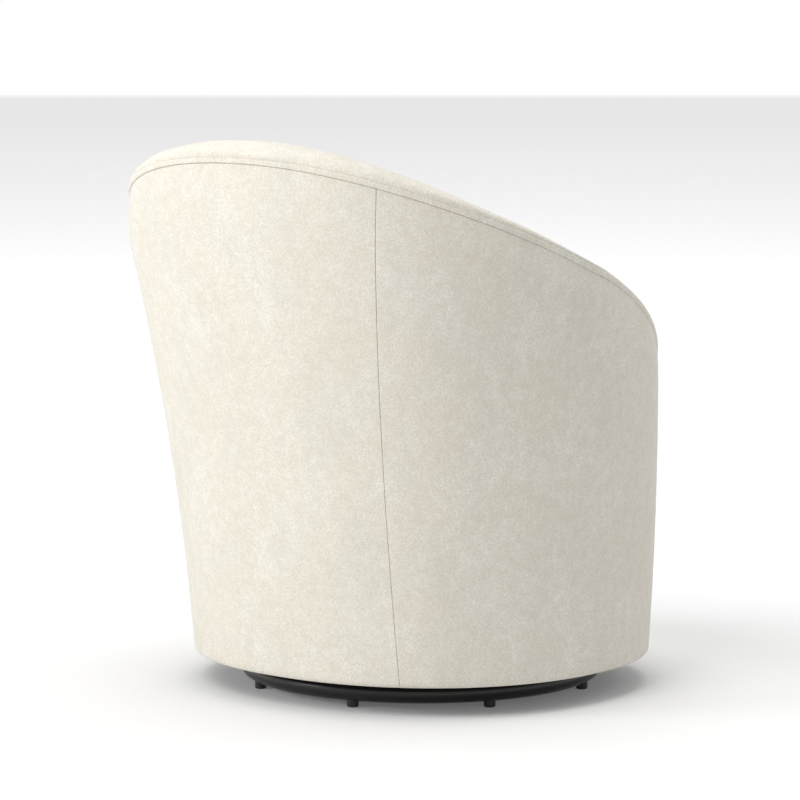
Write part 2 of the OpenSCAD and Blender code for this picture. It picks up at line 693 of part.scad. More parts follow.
// Height of the crown, from 0 at the seam to 1 in the middle
function crown_z(u) = cushion_top + cushion_crown * (1 - pow(1 - u, crown_fullness));
// Rings of the cushion from its bottom up, s inside its face
function cushion_rings(s) = let (inner = cushion_ring(cushion_top, s + cushion_edge, 0)) concat(
    [level(cushion_ring(cushion_low, s + cushion_edge, 0), cushion_z + s)],
    [for (v = steps(-1, 1, 4)) cushion_ring(mix(cushion_low, cushion_top, (v + 1) / 2), s,
        cushion_bulge * (1 - v * v))],
    [for (u = [0, 0.1, 0.35, 0.62, 0.88])
        toward_middle(inner, u, crown_z(mix(0.04, 1, u)) - s)]);
module cushion_foam() {
    on_axis() color(foam) loft(cushion_rings(cover_gap));
}
// The cover runs down outside, in to a small vent below, and back up inside
module cushion_cover() {
    outer = cushion_rings(0);
    inner = cushion_rings(cover_t);
    on_axis() color(ivory) loft(concat(backwards(outer),
        [toward_middle(outer[0], 0.93, cushion_z), toward_middle(inner[0], 0.93, cushion_z + cover_t)],
        inner));
}
module dust_cover() {
    on_axis() color(black) translate([0, 0, board_z - 1.2 - 0.05]) linear_extrude(1.2) difference() {
        plan(board_z, rib_in);
        circle(swivel_d / 2 + 6);
    }
}

base_ring();
base_spokes();
hub_plate();
glide_feet();
swivel_lower_plate();
swivel_rivet();
base_bolts();
base_nuts();
bearing_balls();
ball_cage();
swivel_upper_plate();
seat_bolts();
tee_nuts();
bottom_board();
lower_posts();
seat_frame();
wall_ribs();
top_rail();
seat_springs();
spring_clips();
seat_deck();
back_webbing();
shell_liner();
apron_liner();
back_pad();
arm_pads();
inner_cover();
arm_front_left();
arm_front_right();
outer_back_panel();
outer_side_panel_left();
outer_side_panel_right();
front_apron();
top_welt();
cushion_foam();
cushion_cover();
dust_cover();
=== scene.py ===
"""Swivel barrel chair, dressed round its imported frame. Metres; the sitter faces -Y.

A turn round the tub is in degrees: 0 at the middle of the back, 90 at the
sitter's right, negative on the sitter's left. An inset is measured from the
outer face of the tub's wall inwards.
"""

import json
import logging
import math
from dataclasses import dataclass, field
from enum import Enum
from functools import cached_property, partial
from typing import Sequence

import bmesh
import bpy
import numpy as np
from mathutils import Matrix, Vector
from mathutils.geometry import delaunay_2d_cdt


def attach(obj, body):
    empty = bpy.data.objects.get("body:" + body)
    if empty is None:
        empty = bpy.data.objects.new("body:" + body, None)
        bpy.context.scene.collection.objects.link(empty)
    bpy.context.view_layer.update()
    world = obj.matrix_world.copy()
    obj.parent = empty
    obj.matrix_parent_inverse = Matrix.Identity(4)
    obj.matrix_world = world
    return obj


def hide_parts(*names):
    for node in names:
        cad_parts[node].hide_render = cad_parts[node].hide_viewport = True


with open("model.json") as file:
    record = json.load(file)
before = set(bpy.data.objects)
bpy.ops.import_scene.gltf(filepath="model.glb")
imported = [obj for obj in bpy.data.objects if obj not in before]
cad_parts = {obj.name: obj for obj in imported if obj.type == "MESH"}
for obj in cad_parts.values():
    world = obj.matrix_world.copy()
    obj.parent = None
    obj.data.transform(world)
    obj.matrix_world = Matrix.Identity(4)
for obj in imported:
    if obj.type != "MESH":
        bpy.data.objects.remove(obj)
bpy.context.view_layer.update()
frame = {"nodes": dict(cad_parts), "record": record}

LOG = logging.getLogger("chair")

Points = np.ndarray
Faces = list[list[int]]

UP = np.array([0.0, 0.0, 1.0])
MIRROR = np.array([-1.0, 1.0, 1.0])


# ---- The form of the tub ----


@dataclass(frozen=True)
class TubForm:
    """The form that every layer of the tub follows, in metres and degrees."""

    hem_z: float = 0.042
    back_z: float = 0.735
    edge_turns: tuple[float, ...] = (0.0, 45.0, 90.0, 130.0)
    edge_heights: tuple[float, ...] = (0.735, 0.688, 0.586, 0.456)
    widths: tuple[float, ...] = (0.635, 0.689, 0.767)
    depths: tuple[float, ...] = (0.611, 0.653, 0.671)
    leans: tuple[float, ...] = (0.0, 0.025, 0.092)
    seam_turns: tuple[float, ...] = (33.0, 31.5, 35.7)
    fullness: float = 2.17
    arm_wall: float = 0.068
    back_wall: float = 0.096
    arm_roll: float = 0.014
    back_roll: float = 0.033
    arm_shoulder: float = 0.001
    back_shoulder: float = 0.020
    shoulder_h: float = 0.096
    arm_shoulder_share: float = 0.4
    seam_corner: float = 0.034
    welt_d: float = 0.0075
    deck_z: float = 0.228
    cushion_bulge: float = 0.008

    @staticmethod
    def through(values: Sequence[float], u: Points) -> Points:
        """A curve through three values at 0, 1/2 and 1.

        Args:
            values: The three values.
            u: Where to read the curve.

        Returns:
            The curve's values at u.
        """
        a, b, c = values
        return a + u * (4 * b - 3 * a - c) + u * u * 2 * (a - 2 * b + c)

    def rise(self, z: Points) -> Points:
        """Share of the way from the hem to the back's top seam."""
        return (z - self.hem_z) / (self.back_z - self.hem_z)

    def width(self, z: Points) -> Points:
        """Width of the plan at a height."""
        return self.through(self.widths, self.rise(z))

    def depth(self, z: Points) -> Points:
        """Depth of the plan at a height."""
        return self.through(self.depths, self.rise(z))

    def lean(self, z: Points) -> Points:
        """How far the plan leans back at a height."""
        return self.through(self.leans, self.rise(z))

    def seam_turn(self, z: Points) -> Points:
        """Turn of the vertical seam at a height."""
        return self.through(self.seam_turns, self.rise(z))

    @cached_property
    def axis_y(self) -> float:
        """Where the swivel axis stands, behind the middle of the chair's box."""
        bend = self.back_z - self.shoulder_h
        z = np.concatenate([np.linspace(self.hem_z, bend, 4), np.linspace(bend, self.back_z, 4)])
        back = float((self.lean(z) + self.depth(z) / 2 - self.shoulder(0 * z, z)).max())
        front = self.lean(self.deck_z) - self.depth(self.deck_z) / 2 - self.cushion_bulge
        return -(back + front) / 2

    def full(self, v: Points) -> Points:
        """A sine or cosine, filled out to the plan's fullness."""
        return np.sign(v) * np.abs(v) ** (2 / self.fullness)

    def wall(self, turn: Points, z: Points, inset: Points = 0.0) -> Points:
        """Points of the wall.

        Args:
            turn: Turns from the back, in degrees.
            z: Heights.
            inset: Distances in from the outer face.

        Returns:
            An array of the arguments' common shape, with x, y, z last.
        """
        turn, z, inset = np.broadcast_arrays(
            np.asarray(turn, float), np.asarray(z, float), np.asarray(inset, float)
        )
        inset = inset + self.shoulder(turn, z)
        a = np.radians(turn)
        x = -(self.width(z) / 2 - inset) * self.full(np.sin(a))
        y = self.axis_y + self.lean(z) + (self.depth(z) / 2 - inset) * self.full(np.cos(a))
        return np.stack([x, y, z + 0 * x], axis=-1)

    def inwards(self, turn: Points, z: Points) -> Points:
        """Directions into the wall, as vectors of about 0.1 m."""
        return self.wall(turn, z, 0.1) - self.wall(turn, z)

    def shoulder(self, turn: Points, z: Points) -> Points:
        """How far the wall turns in below the top seam.

        Args:
            turn: Turns from the back, in degrees.
            z: Heights, of the same shape.

        Returns:
            Insets, growing from nothing to a full value at the seam and above.
        """
        share = self.backness(turn)
        seam = np.where(share > 0, self.edge_height(turn), self.edge_heights[3])
        low = self.arm_shoulder_share
        over = np.clip(1 + (z - seam) / (self.shoulder_h * (low + (1 - low) * share)), 0, 1)
        return (self.arm_shoulder + (self.back_shoulder - self.arm_shoulder) * share) * over**2

    @property
    def per_degree(self) -> float:
        """Metres along the wall in one degree of turn, at the arm."""
        z = self.edge_heights[3]
        a, b = self.wall(self.arm_turn, z), self.wall(self.arm_turn - 4, z)
        return float(np.linalg.norm(a - b)) / 4

    @property
    def arm_turn(self) -> float:
        """Turn of the front end of the outer side panel."""
        return self.edge_turns[3]

    def edge_height(self, turn: Points) -> Points:
        """Height of the top seam before it is rounded down at the arm."""
        c = np.cos(np.radians(turn))
        knots = np.cos(np.radians(self.edge_turns))
        total = np.zeros_like(c)
        for i, height in enumerate(self.edge_heights):
            part = np.full_like(c, height)
            for j in range(4):
                if j != i:
                    part = part * (c - knots[j]) / (knots[i] - knots[j])
            total = total + part
        return total

    @property
    def fall(self) -> float:
        """Angle at which the top seam comes to its corner at the arm, in radians."""
        high, low = self.edge_height(np.array([self.arm_turn - 4, self.arm_turn - 2]))
        return math.atan((high - low) / (2 * self.per_degree))

    @property
    def corner_turn(self) -> float:
        """Turn of the centre of the seam's corner."""
        return self.arm_turn - self.seam_corner / self.per_degree

    @property
    def corner_z(self) -> float:
        """Height of the centre of the seam's corner."""
        turn = self.corner_turn + self.seam_corner * math.sin(self.fall) / self.per_degree
        return float(self.edge_height(np.array(turn))) - self.seam_corner * math.cos(self.fall)

    def steep(self, turn: Points) -> Points:
        """Length of the top seam over its length in plan."""
        d = self.edge_height(turn + 1) - self.edge_height(turn - 1)
        return np.hypot(2 * self.per_degree, d) / (2 * self.per_degree)

    def edge(self, turn: Points, out: float = 0.0) -> Points:
        """Height of a line beside the top seam.

        Args:
            turn: Turns from the back, in degrees.
            out: How far beyond the seam the line runs.

        Returns:
            Its heights, rounded down at the arm.
        """
        turn = np.abs(np.asarray(turn, float))
        x = (turn - self.corner_turn) * self.per_degree
        r = self.seam_corner + out
        arc = self.corner_z + np.sqrt(np.clip(r * r - x * x, 0, None))
        line = self.edge_height(turn) + out * self.steep(turn)
        return np.where(x < r * math.sin(self.fall), line, arc)

    def end_turn(self, out: float) -> float:
        """Turn at which a line beside the top seam comes down."""
        return self.arm_turn + out / self.per_degree

    @property
    def nose_turn(self) -> float:
        """Turn of the end of the padded wall, past the welt."""
        return self.end_turn(self.welt_d)

    def backness(self, turn: Points) -> Points:
        """1 at the back, falling to 0 at the arm."""
        c, end = np.cos(np.radians(turn)), math.cos(math.radians(self.arm_turn))
        return np.clip((c - end) / (1 - end), 0, None)

    def wall_thickness(self, turn: Points) -> Points:
        """Thickness of the wall, cover to cover."""
        return self.arm_wall + (self.back_wall - self.arm_wall) * self.backness(turn)

    def roll_height(self, turn: Points) -> Points:
        """Rise of the roll over the top seam."""
        return self.arm_roll + (self.back_roll - self.arm_roll) * self.backness(turn)

    def roll_base(self, turn: Points) -> Points:
        """Height at which the roll starts, over the welt."""
        return self.edge_height(turn) + self.welt_d * self.steep(turn)


TUB = TubForm()


# ---- Meshes ----


def make_piece(name: str, points: Points, faces: Faces) -> bpy.types.Object:
    """Makes a smooth-shaded mesh object at the origin, with its faces outwards.

    Args:
        name: Name of the piece.
        points: Its points, one row each.
        faces: Its faces, as lists of point numbers.

    Returns:
        The new object, linked to the scene.
    """
    mesh = bpy.data.meshes.new(name)
    mesh.from_pydata(np.asarray(points, float).reshape(-1, 3).tolist(), [], faces)
    work = bmesh.new()
    work.from_mesh(mesh)
    bmesh.ops.recalc_face_normals(work, faces=work.faces)
    work.to_mesh(mesh)
    work.free()
    mesh.validate()
    mesh.shade_smooth()
    piece = bpy.data.objects.new(name, mesh)
    bpy.context.scene.collection.objects.link(piece)
    return piece


def grid_faces(rows: int, columns: int, start: int = 0, round_columns: bool = False) -> Faces:
    """Faces of a grid of points that is stored row by row.

    Args:
        rows: Number of rows.
        columns: Number of points in a row.
        start: Number of the grid's first point.
        round_columns: True if the last column joins the first.

    Returns:
        Its quads.
    """
    faces = []
    for i in range(rows - 1):
        for j in range(columns - (0 if round_columns else 1)):
            k = (j + 1) % columns
            a, b = start + i * columns + j, start + i * columns + k
            faces.append([a, b, b + columns, a + columns])
    return faces


def grid_normals(grid: Points) -> Points:
    """Unit normals of a grid of points, from its neighbours."""
    du = np.gradient(grid, axis=0)
    dv = np.gradient(grid, axis=1)
    n = np.cross(du, dv)
    return n / np.maximum(np.linalg.norm(n, axis=-1, keepdims=True), 1e-12)


def cloth_piece(name: str, outer: Points, thickness: float, inwards: Points,
                round_columns: bool = False) -> bpy.types.Object:
    """Makes a closed piece of cloth from a grid of its outer face.

    Args:
        name: Name of the piece.
        outer: The grid, rows by columns by 3.
        thickness: Thickness of the cloth.
        inwards: A direction at each point that leads inwards, to sign the normals.
        round_columns: True if the last column joins the first.

    Returns:
        The piece.
    """
    rows, columns = outer.shape[:2]
    normals = grid_normals(outer)
    sign = np.sign((normals * inwards).sum(-1, keepdims=True))
    inner = outer + normals * sign * thickness
    count = rows * columns
    faces = grid_faces(rows, columns, round_columns=round_columns)
    faces += [[a + count for a in reversed(face)] for face in faces]
    first, last = list(range(columns)), list(range((rows - 1) * columns, count))
    rims = [first, last[::-1]]
    if not round_columns:
        rims = [first + [i * columns + columns - 1 for i in range(1, rows - 1)] + last[::-1]
                + [i * columns for i in range(rows - 2, 0, -1)]]
    for rim in rims:
        faces += [[b, a, a + count, b + count] for a, b in zip(rim, rim[1:] + rim[:1])]
    return make_piece(name, np.concatenate([outer.reshape(-1, 3), inner.reshape(-1, 3)]), faces)


def settle(piece: bpy.types.Object, slot: str, *nodes: str) -> None:
    """Gives a finished piece its body, and hides the CAD nodes that it takes the place of.

    Args:
        piece: The piece.
        slot: Its material slot; not used.
        *nodes: The CAD nodes that it takes the place of.
    """
    if nodes:
        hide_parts(*nodes)
    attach(piece, "seat")


def bands(rows: Sequence[Sequence[int]]) -> Faces:
    """Quads between each two neighbours in a list of closed rows of point numbers."""
    faces = []
    for upper, lower in zip(rows, rows[1:]):
        for i in range(len(upper)):
            k = (i + 1) % len(upper)
            faces.append([int(upper[i]), int(upper[k]), int(lower[k]), int(lower[i])])
    return faces


def unit(vectors: Points) -> Points:
    """Vectors scaled to a length of 1, one a row."""
    return vectors / np.linalg.norm(vectors, axis=1, keepdims=True)


def ripple(x: Points, y: Points, seed: int, size: float, waves: int = 9) -> Points:
    """A smooth field of waves between about -1 and 1.

    Args:
        x: First coordinate, in metres.
        y: Second coordinate, in metres.
        seed: Seed of the waves' directions and phases.
        size: Typical length of a wave, in metres.
        waves: Number of waves.

    Returns:
        The field.
    """
    draw = np.random.default_rng(seed)
    total = np.zeros(np.broadcast(x, y).shape)
    for _ in range(waves):
        angle, phase = draw.uniform(0, 2 * math.pi, 2)
        k = 2 * math.pi / (size * draw.uniform(0.7, 1.6))
        total = total + np.sin(k * (x * math.cos(angle) + y * math.sin(angle)) + phase)
    return total / math.sqrt(waves * 2)


def fold_in(distance: Points, radius: float) -> Points:
    """How far cloth has turned in at a distance from its folded edge."""
    u = np.clip(radius - distance, 0, radius)
    return radius - np.sqrt(radius * radius - u * u)


def spacing(length: float, step: float, fine: Sequence[float]) -> Points:
    """Shares of a length with chosen close distances at both ends.

    Args:
        length: The length.
        step: Spacing away from the ends.
        fine: Distances from each end, rising from 0.

    Returns:
        Rising shares from 0 to 1.
    """
    start = np.asarray(fine, float)
    count = max(2, round((length - 2 * start[-1]) / step))
    middle = np.linspace(start[-1], length - start[-1], count + 1)[1:-1]
    return np.concatenate([start, middle, length - start[::-1]]) / length


def panel_fill(ring: Points, offsets: Sequence[float], grid: float) -> tuple[Points, Faces]:
    """Fills a closed outline with triangles that are finer near its edge.

    Args:
        ring: The outline's points in plan, in order.
        offsets: Distances inwards at which rows of points follow the outline.
        grid: Spacing of the points farther in.

    Returns:
        The points in plan, the outline's first, and the triangles.
    """
    along = np.roll(ring, -1, axis=0) - np.roll(ring, 1, axis=0)
    along /= np.linalg.norm(along, axis=1, keepdims=True)
    turn = np.cross(ring, np.roll(ring, -1, axis=0)).sum()
    normal = np.stack([-along[:, 1], along[:, 0]], axis=1) * np.sign(turn)
    kept = [ring]
    for k, offset in enumerate(offsets):
        row = (ring + normal * offset)[k % 2::1 + k // 2]
        kept.append(row[edge_distance(row, ring) > 0.97 * offset])
    low, high = ring.min(axis=0), ring.max(axis=0)
    xs = np.arange(low[0], high[0], grid)
    ys = np.arange(low[1], high[1], grid * 0.866)
    mesh = np.stack(np.meshgrid(xs, ys), axis=-1)
    mesh[1::2, :, 0] += grid / 2
    mesh = mesh.reshape(-1, 2)
    last = offsets[-1] if len(offsets) else 0.0
    inside = within(mesh, ring)
    inside[inside] = edge_distance(mesh[inside], ring) > last + 0.6 * grid
    kept.append(mesh[inside])
    points = np.concatenate(kept)
    count = len(ring)
    outline = [(i, (i + 1) % count) for i in range(count)]
    corners = [Vector(p) for p in points.tolist()]
    made = delaunay_2d_cdt(corners, outline, [list(range(count))], 1, 1e-7)
    return np.array([list(p) for p in made[0]]), [list(face) for face in made[2]]


def edge_distance(points: Points, ring: Points) -> Points:
    """Distance of points in plan from a closed outline."""
    a, b = ring, np.roll(ring, -1, axis=0)
    ab = b - a
    best = np.full(len(points), np.inf)
    for start in range(0, len(points), 500):
        ap = points[start:start + 500, None, :] - a[None]
        u = np.clip((ap * ab).sum(-1) / (ab * ab).sum(-1), 0, 1)
        best[start:start + 500] = np.linalg.norm(ap - u[..., None] * ab, axis=-1).min(axis=1)
    return best


def within(points: Points, ring: Points) -> Points:
    """Which points in plan lie inside a closed outline."""
    a, b = ring, np.roll(ring, -1, axis=0)
    x, y = points[:, None, 0], points[:, None, 1]
    spans = (a[:, 1] > y) != (b[:, 1] > y)
    rise = np.where(np.abs(b[:, 1] - a[:, 1]) < 1e-12, 1e-12, b[:, 1] - a[:, 1])
    cross = a[:, 0] + (y - a[:, 1]) / rise * (b[:, 0] - a[:, 0])
    return (spans & (x < cross)).sum(axis=1) % 2 == 1


def evened(ring: Points, step: float) -> Points:
    """Shares along a closed outline that space its points evenly.

    Args:
        ring: The outline's points.
        step: The spacing.

    Returns:
        Rising numbers, whose whole part is a point and whose rest is a share.
    """
    lengths = np.linalg.norm(np.roll(ring, -1, axis=0) - ring, axis=1)
    total = np.concatenate([[0.0], np.cumsum(lengths)])
    count = max(8, round(total[-1] / step))
    return np.interp(np.arange(count) / count * total[-1], total, np.arange(len(total)))


def at_shares(ring: Points, shares: Points) -> Points:
    """Points of a closed outline at the shares that evened gives."""
    first = np.floor(shares).astype(int) % len(ring)
    rest = (shares - np.floor(shares))[:, None]
    return ring[first] * (1 - rest) + ring[(first + 1) % len(ring)] * rest


@dataclass(frozen=True)
class Filling:
    """How a sewn cover is filled, by simulating its cloth under pressure."""

    pressure: float = 4.0
    mass: float = 0.25
    stretch: float = 25.0
    shear: float = 12.0
    bending: float = 1.5
    quality: int = 5
    frames: int = 20

    def inflate(self, piece: bpy.types.Object, pinned: Sequence[int], cap: Points) -> None:
        """Args:
            piece: The closed cover.
            pinned: The points that its seams hold.
            cap: How far each point may move.
        """
        mesh = piece.data
        rest = np.empty(len(mesh.vertices) * 3)
        mesh.vertices.foreach_get("co", rest)
        rest = rest.reshape(-1, 3)
        group = piece.vertex_groups.new(name="sewn")
        group.add([int(i) for i in pinned], 1.0, "REPLACE")
        cloth = piece.modifiers.new("filling", "CLOTH")
        settings = cloth.settings
        settings.quality = self.quality
        settings.mass = self.mass
        settings.tension_stiffness = settings.compression_stiffness = self.stretch
        settings.shear_stiffness = self.shear
        settings.bending_stiffness = self.bending
        settings.use_pressure = True
        settings.uniform_pressure_force = self.pressure
        settings.vertex_group_mass = "sewn"
        settings.effector_weights.gravity = 0.0
        cloth.point_cache.frame_start, cloth.point_cache.frame_end = 1, self.frames
        for frame_number in range(1, self.frames + 1):
            bpy.context.scene.frame_set(frame_number)
        seen = piece.evaluated_get(bpy.context.evaluated_depsgraph_get())
        moved = np.empty(len(mesh.vertices) * 3)
        seen.data.vertices.foreach_get("co", moved)
        piece.modifiers.remove(cloth)
        piece.vertex_groups.clear()
        bpy.context.scene.frame_set(1)
        shift = moved.reshape(-1, 3) - rest
        length = np.linalg.norm(shift, axis=1, keepdims=True)
        limit = np.maximum(np.asarray(cap, float).reshape(-1, 1), 1e-9)
        shift *= limit * np.tanh(length / limit) / np.maximum(length, 1e-12)
        mesh.vertices.foreach_set("co", (rest + shift).ravel())
        mesh.update()
        most = 1000 * np.linalg.norm(shift, axis=1).max()
        LOG.info("%s filled: moved %.1f mm at most", piece.name, most)


# ---- Materials ----


class NodeTree:
    """A short way to add, fill and link nodes in one tree."""

    def __init__(self, tree: bpy.types.NodeTree) -> None:
        """Starts on an empty tree."""
        self.tree = tree
        tree.nodes.clear()

    def put(self, value: object, target: bpy.types.NodeSocket) -> None:
        """Links a socket to an input, or sets the input's value."""
        if isinstance(value, bpy.types.NodeSocket):
            self.tree.links.new(value, target)
        else:
            target.default_value = value

    def add(self, kind: str, inputs: dict[str | int, object] | None = None,
            **settings: object) -> bpy.types.Node:
        """Adds a node.

        Args:
            kind: Its type, such as ShaderNodeBump.
            inputs: Sockets or values for its inputs, by name or number.
            **settings: Its properties.

        Returns:
            The node.
        """
        node = self.tree.nodes.new(kind)
        for name, value in settings.items():
            setattr(node, name, value)
        for key, value in (inputs or {}).items():
            self.put(value, node.inputs[key])
        return node

    def math(self, operation: str, *values: object) -> bpy.types.NodeSocket:
        """The output of a Math node, with sockets or numbers for its inputs."""
        return self.add("ShaderNodeMath", dict(enumerate(values)), operation=operation).outputs[0]

    def mix(self, factor: object, a: object, b: object) -> bpy.types.NodeSocket:
        """Mixes two colours.

        Args:
            factor: Socket or number, 0 for the first colour.
            a: First colour, a socket or three numbers.
            b: Second colour, a socket or three numbers.

        Returns:
            The mixed colour.
        """
        a, b = (c if isinstance(c, bpy.types.NodeSocket) else (*c, 1.0) for c in (a, b))
        return self.add("ShaderNodeMix", {0: factor, 6: a, 7: b}, data_type="RGBA").outputs[2]

    def noise(self, where: bpy.types.NodeSocket, scale: object, detail: float,
              rough: float = 0.5) -> bpy.types.NodeSocket:
        """Adds a noise texture.

        Args:
            where: Coordinates.
            scale: Socket or number of waves to a metre.
            detail: Octaves of detail.
            rough: Strength of each octave over the one before.

        Returns:
            Its value, about 0.5 on average.
        """
        inputs = {"Vector": where, "Scale": scale, "Detail": detail, "Roughness": rough}
        return self.add("ShaderNodeTexNoise", inputs).outputs["Fac"]

    def stretched(self, where: bpy.types.NodeSocket, scale: Sequence[float]) -> bpy.types.NodeSocket:
        """Coordinates scaled by a Mapping node."""
        return self.add("ShaderNodeMapping", {"Scale": scale, "Vector": where}).outputs["Vector"]

    def ramp(self, value: bpy.types.NodeSocket, low: float, high: float) -> bpy.types.NodeSocket:
        """Maps low to 0 and high to 1, smoothly and clamped."""
        inputs = {"Value": value, "From Min": low, "From Max": high}
        return self.add("ShaderNodeMapRange", inputs, interpolation_type="SMOOTHSTEP").outputs["Result"]


def shader_group(name: str, inputs: dict[str, float], outputs: Sequence[str]) -> NodeTree:
    """Starts a shader node group with named number sockets.

    Args:
        name: Name of the group.
        inputs: Its inputs and their defaults; Where is added as a vector.
        outputs: Its outputs, all numbers.

    Returns:
        The group, empty but for its input and output nodes.
    """
    group = bpy.data.node_groups.new(name, "ShaderNodeTree")
    nodes = NodeTree(group)
    group.interface.new_socket("Where", in_out="INPUT", socket_type="NodeSocketVector")
    for socket, value in inputs.items():
        made = group.interface.new_socket(socket, in_out="INPUT", socket_type="NodeSocketFloat")
        made.default_value = value
    for socket in outputs:
        group.interface.new_socket(socket, in_out="OUTPUT", socket_type="NodeSocketFloat")
    nodes.add("NodeGroupInput", name="in")
    nodes.add("NodeGroupOutput", name="out")
    return nodes


def clouded_nap() -> bpy.types.NodeTree:
    """Builds the group for a brushed nap: soft clouds, their warmth, and fine fibres.

    Returns:
        The group, with outputs Cloud, Mottle, Warmth, Grain and Fibre between 0 and 1.
    """
    nodes = shader_group("ClothNap", {"Size": 1.0}, ("Cloud", "Mottle", "Warmth", "Grain", "Fibre"))
    source = nodes.tree.nodes["in"].outputs
    target = nodes.tree.nodes["out"].inputs
    scaled = nodes.add("ShaderNodeVectorMath", {0: source["Where"], "Scale": source["Size"]},
                       operation="SCALE")
    where = scaled.outputs[0]
    upright = nodes.stretched(where, (1.0, 1.0, 0.62))
    broad = nodes.noise(upright, 12.0, 4.0)
    patch = nodes.noise(upright, 34.0, 5.0)
    streak = nodes.noise(nodes.stretched(where, (1.0, 1.0, 0.28)), 70.0, 3.0)
    cloud = nodes.math("MULTIPLY_ADD", broad, 0.5, nodes.math("MULTIPLY", patch, 0.35))
    cloud = nodes.math("MULTIPLY_ADD", streak, 0.15, cloud)
    nodes.put(nodes.ramp(cloud, 0.36, 0.64), target["Cloud"])
    for output, place, scale, detail, rough, low in (
            ("Warmth", upright, 14.0, 3.0, 0.5, 0.38),
            ("Mottle", where, 70.0, 2.0, 0.75, 0.34),
            ("Grain", where, 400.0, 1.0, 0.7, 0.34)):
        nodes.put(nodes.ramp(nodes.noise(place, scale, detail, rough), low, 1 - low), target[output])
    fine = nodes.noise(where, 900.0, 2.0)
    coarse = nodes.noise(where, 330.0, 3.0)
    fibre = nodes.math("MULTIPLY_ADD", fine, 0.6, nodes.math("MULTIPLY", coarse, 0.4))
    nodes.put(fibre, target["Fibre"])
    return nodes.tree


def worn_grain() -> bpy.types.NodeTree:
    """Builds the group for fine grain and slow tone changes on hard surfaces.

    Returns:
        The group, with outputs Grain and Tone between 0 and 1.
    """
    nodes = shader_group("FineGrain", {"Grain scale": 600.0, "Tone scale": 12.0}, ("Grain", "Tone"))
    source = nodes.tree.nodes["in"].outputs
    target = nodes.tree.nodes["out"].inputs
    for output, scale, detail in (("Grain", "Grain scale", 2.0), ("Tone", "Tone scale", 4.0)):
        nodes.put(nodes.noise(source["Where"], source[scale], detail), target[output])
    return nodes.tree


class Pattern(Enum):
    """What kind of pattern a finish has."""

    NAP = "nap"
    GRAIN = "grain"


@dataclass(frozen=True)
class Finish:
    """A finish: two colours that a pattern mixes, and how it takes light."""

    name: str
    colour: tuple[float, float, float]
    second: tuple[float, float, float]
    roughness: float = 0.6
    metallic: float = 0.0
    specular: float = 0.5
    pattern: Pattern = Pattern.GRAIN
    grain_scale: float = 600.0
    tone_scale: float = 12.0
    bump: float = 0.1
    bump_depth: float = 0.0002
    sheen: float = 0.0
    sheen_roughness: float = 0.45
    stretch: tuple[float, float, float] = (1.0, 1.0, 1.0)
    warm: tuple[float, float, float] = (0.0, 0.0, 0.0)
    shade: tuple[float, float, float] = (0.0, 0.0, 0.0)
    mottle: float = 0.0
    speckle: float = 0.0

    def material(self, groups: dict[Pattern, bpy.types.NodeTree]) -> bpy.types.Material:
        """Builds the finish's material.

        Args:
            groups: The shared shader groups.

        Returns:
            The material.
        """
        made = bpy.data.materials.new(self.name)
        made.use_nodes = True
        nodes = NodeTree(made.node_tree)
        where = nodes.add("ShaderNodeTexCoord").outputs["Object"]
        if self.stretch != (1.0, 1.0, 1.0):
            where = nodes.stretched(where, self.stretch)
        group = nodes.add("ShaderNodeGroup", node_tree=groups[self.pattern])
        nodes.put(where, group.inputs["Where"])
        if self.pattern is Pattern.NAP:
            colour = nodes.mix(group.outputs["Cloud"], self.second, self.colour)
            tint = nodes.math("MULTIPLY", group.outputs["Warmth"], 0.5)
            colour = nodes.mix(tint, colour, self.warm)
            for mask, depth in (("Mottle", self.mottle), ("Grain", self.speckle)):
                share = nodes.math("MULTIPLY", group.outputs[mask], depth)
                colour = nodes.mix(share, colour, self.shade)
            height = group.outputs["Fibre"]
        else:
            nodes.put(self.grain_scale, group.inputs["Grain scale"])
            nodes.put(self.tone_scale, group.inputs["Tone scale"])
            colour = nodes.mix(group.outputs["Tone"], self.colour, self.second)
            height = group.outputs["Grain"]
        bump = nodes.add("ShaderNodeBump", {"Strength": self.bump, "Distance": self.bump_depth,
                                            "Height": height})
        shader = nodes.add("ShaderNodeBsdfPrincipled", {
            "Base Color": colour, "Metallic": self.metallic, "Roughness": self.roughness,
            "Specular IOR Level": self.specular, "Sheen Weight": self.sheen,
            "Sheen Roughness": self.sheen_roughness, "Normal": bump.outputs["Normal"]})
        nodes.add("ShaderNodeOutputMaterial", {"Surface": shader.outputs["BSDF"]})
        return made


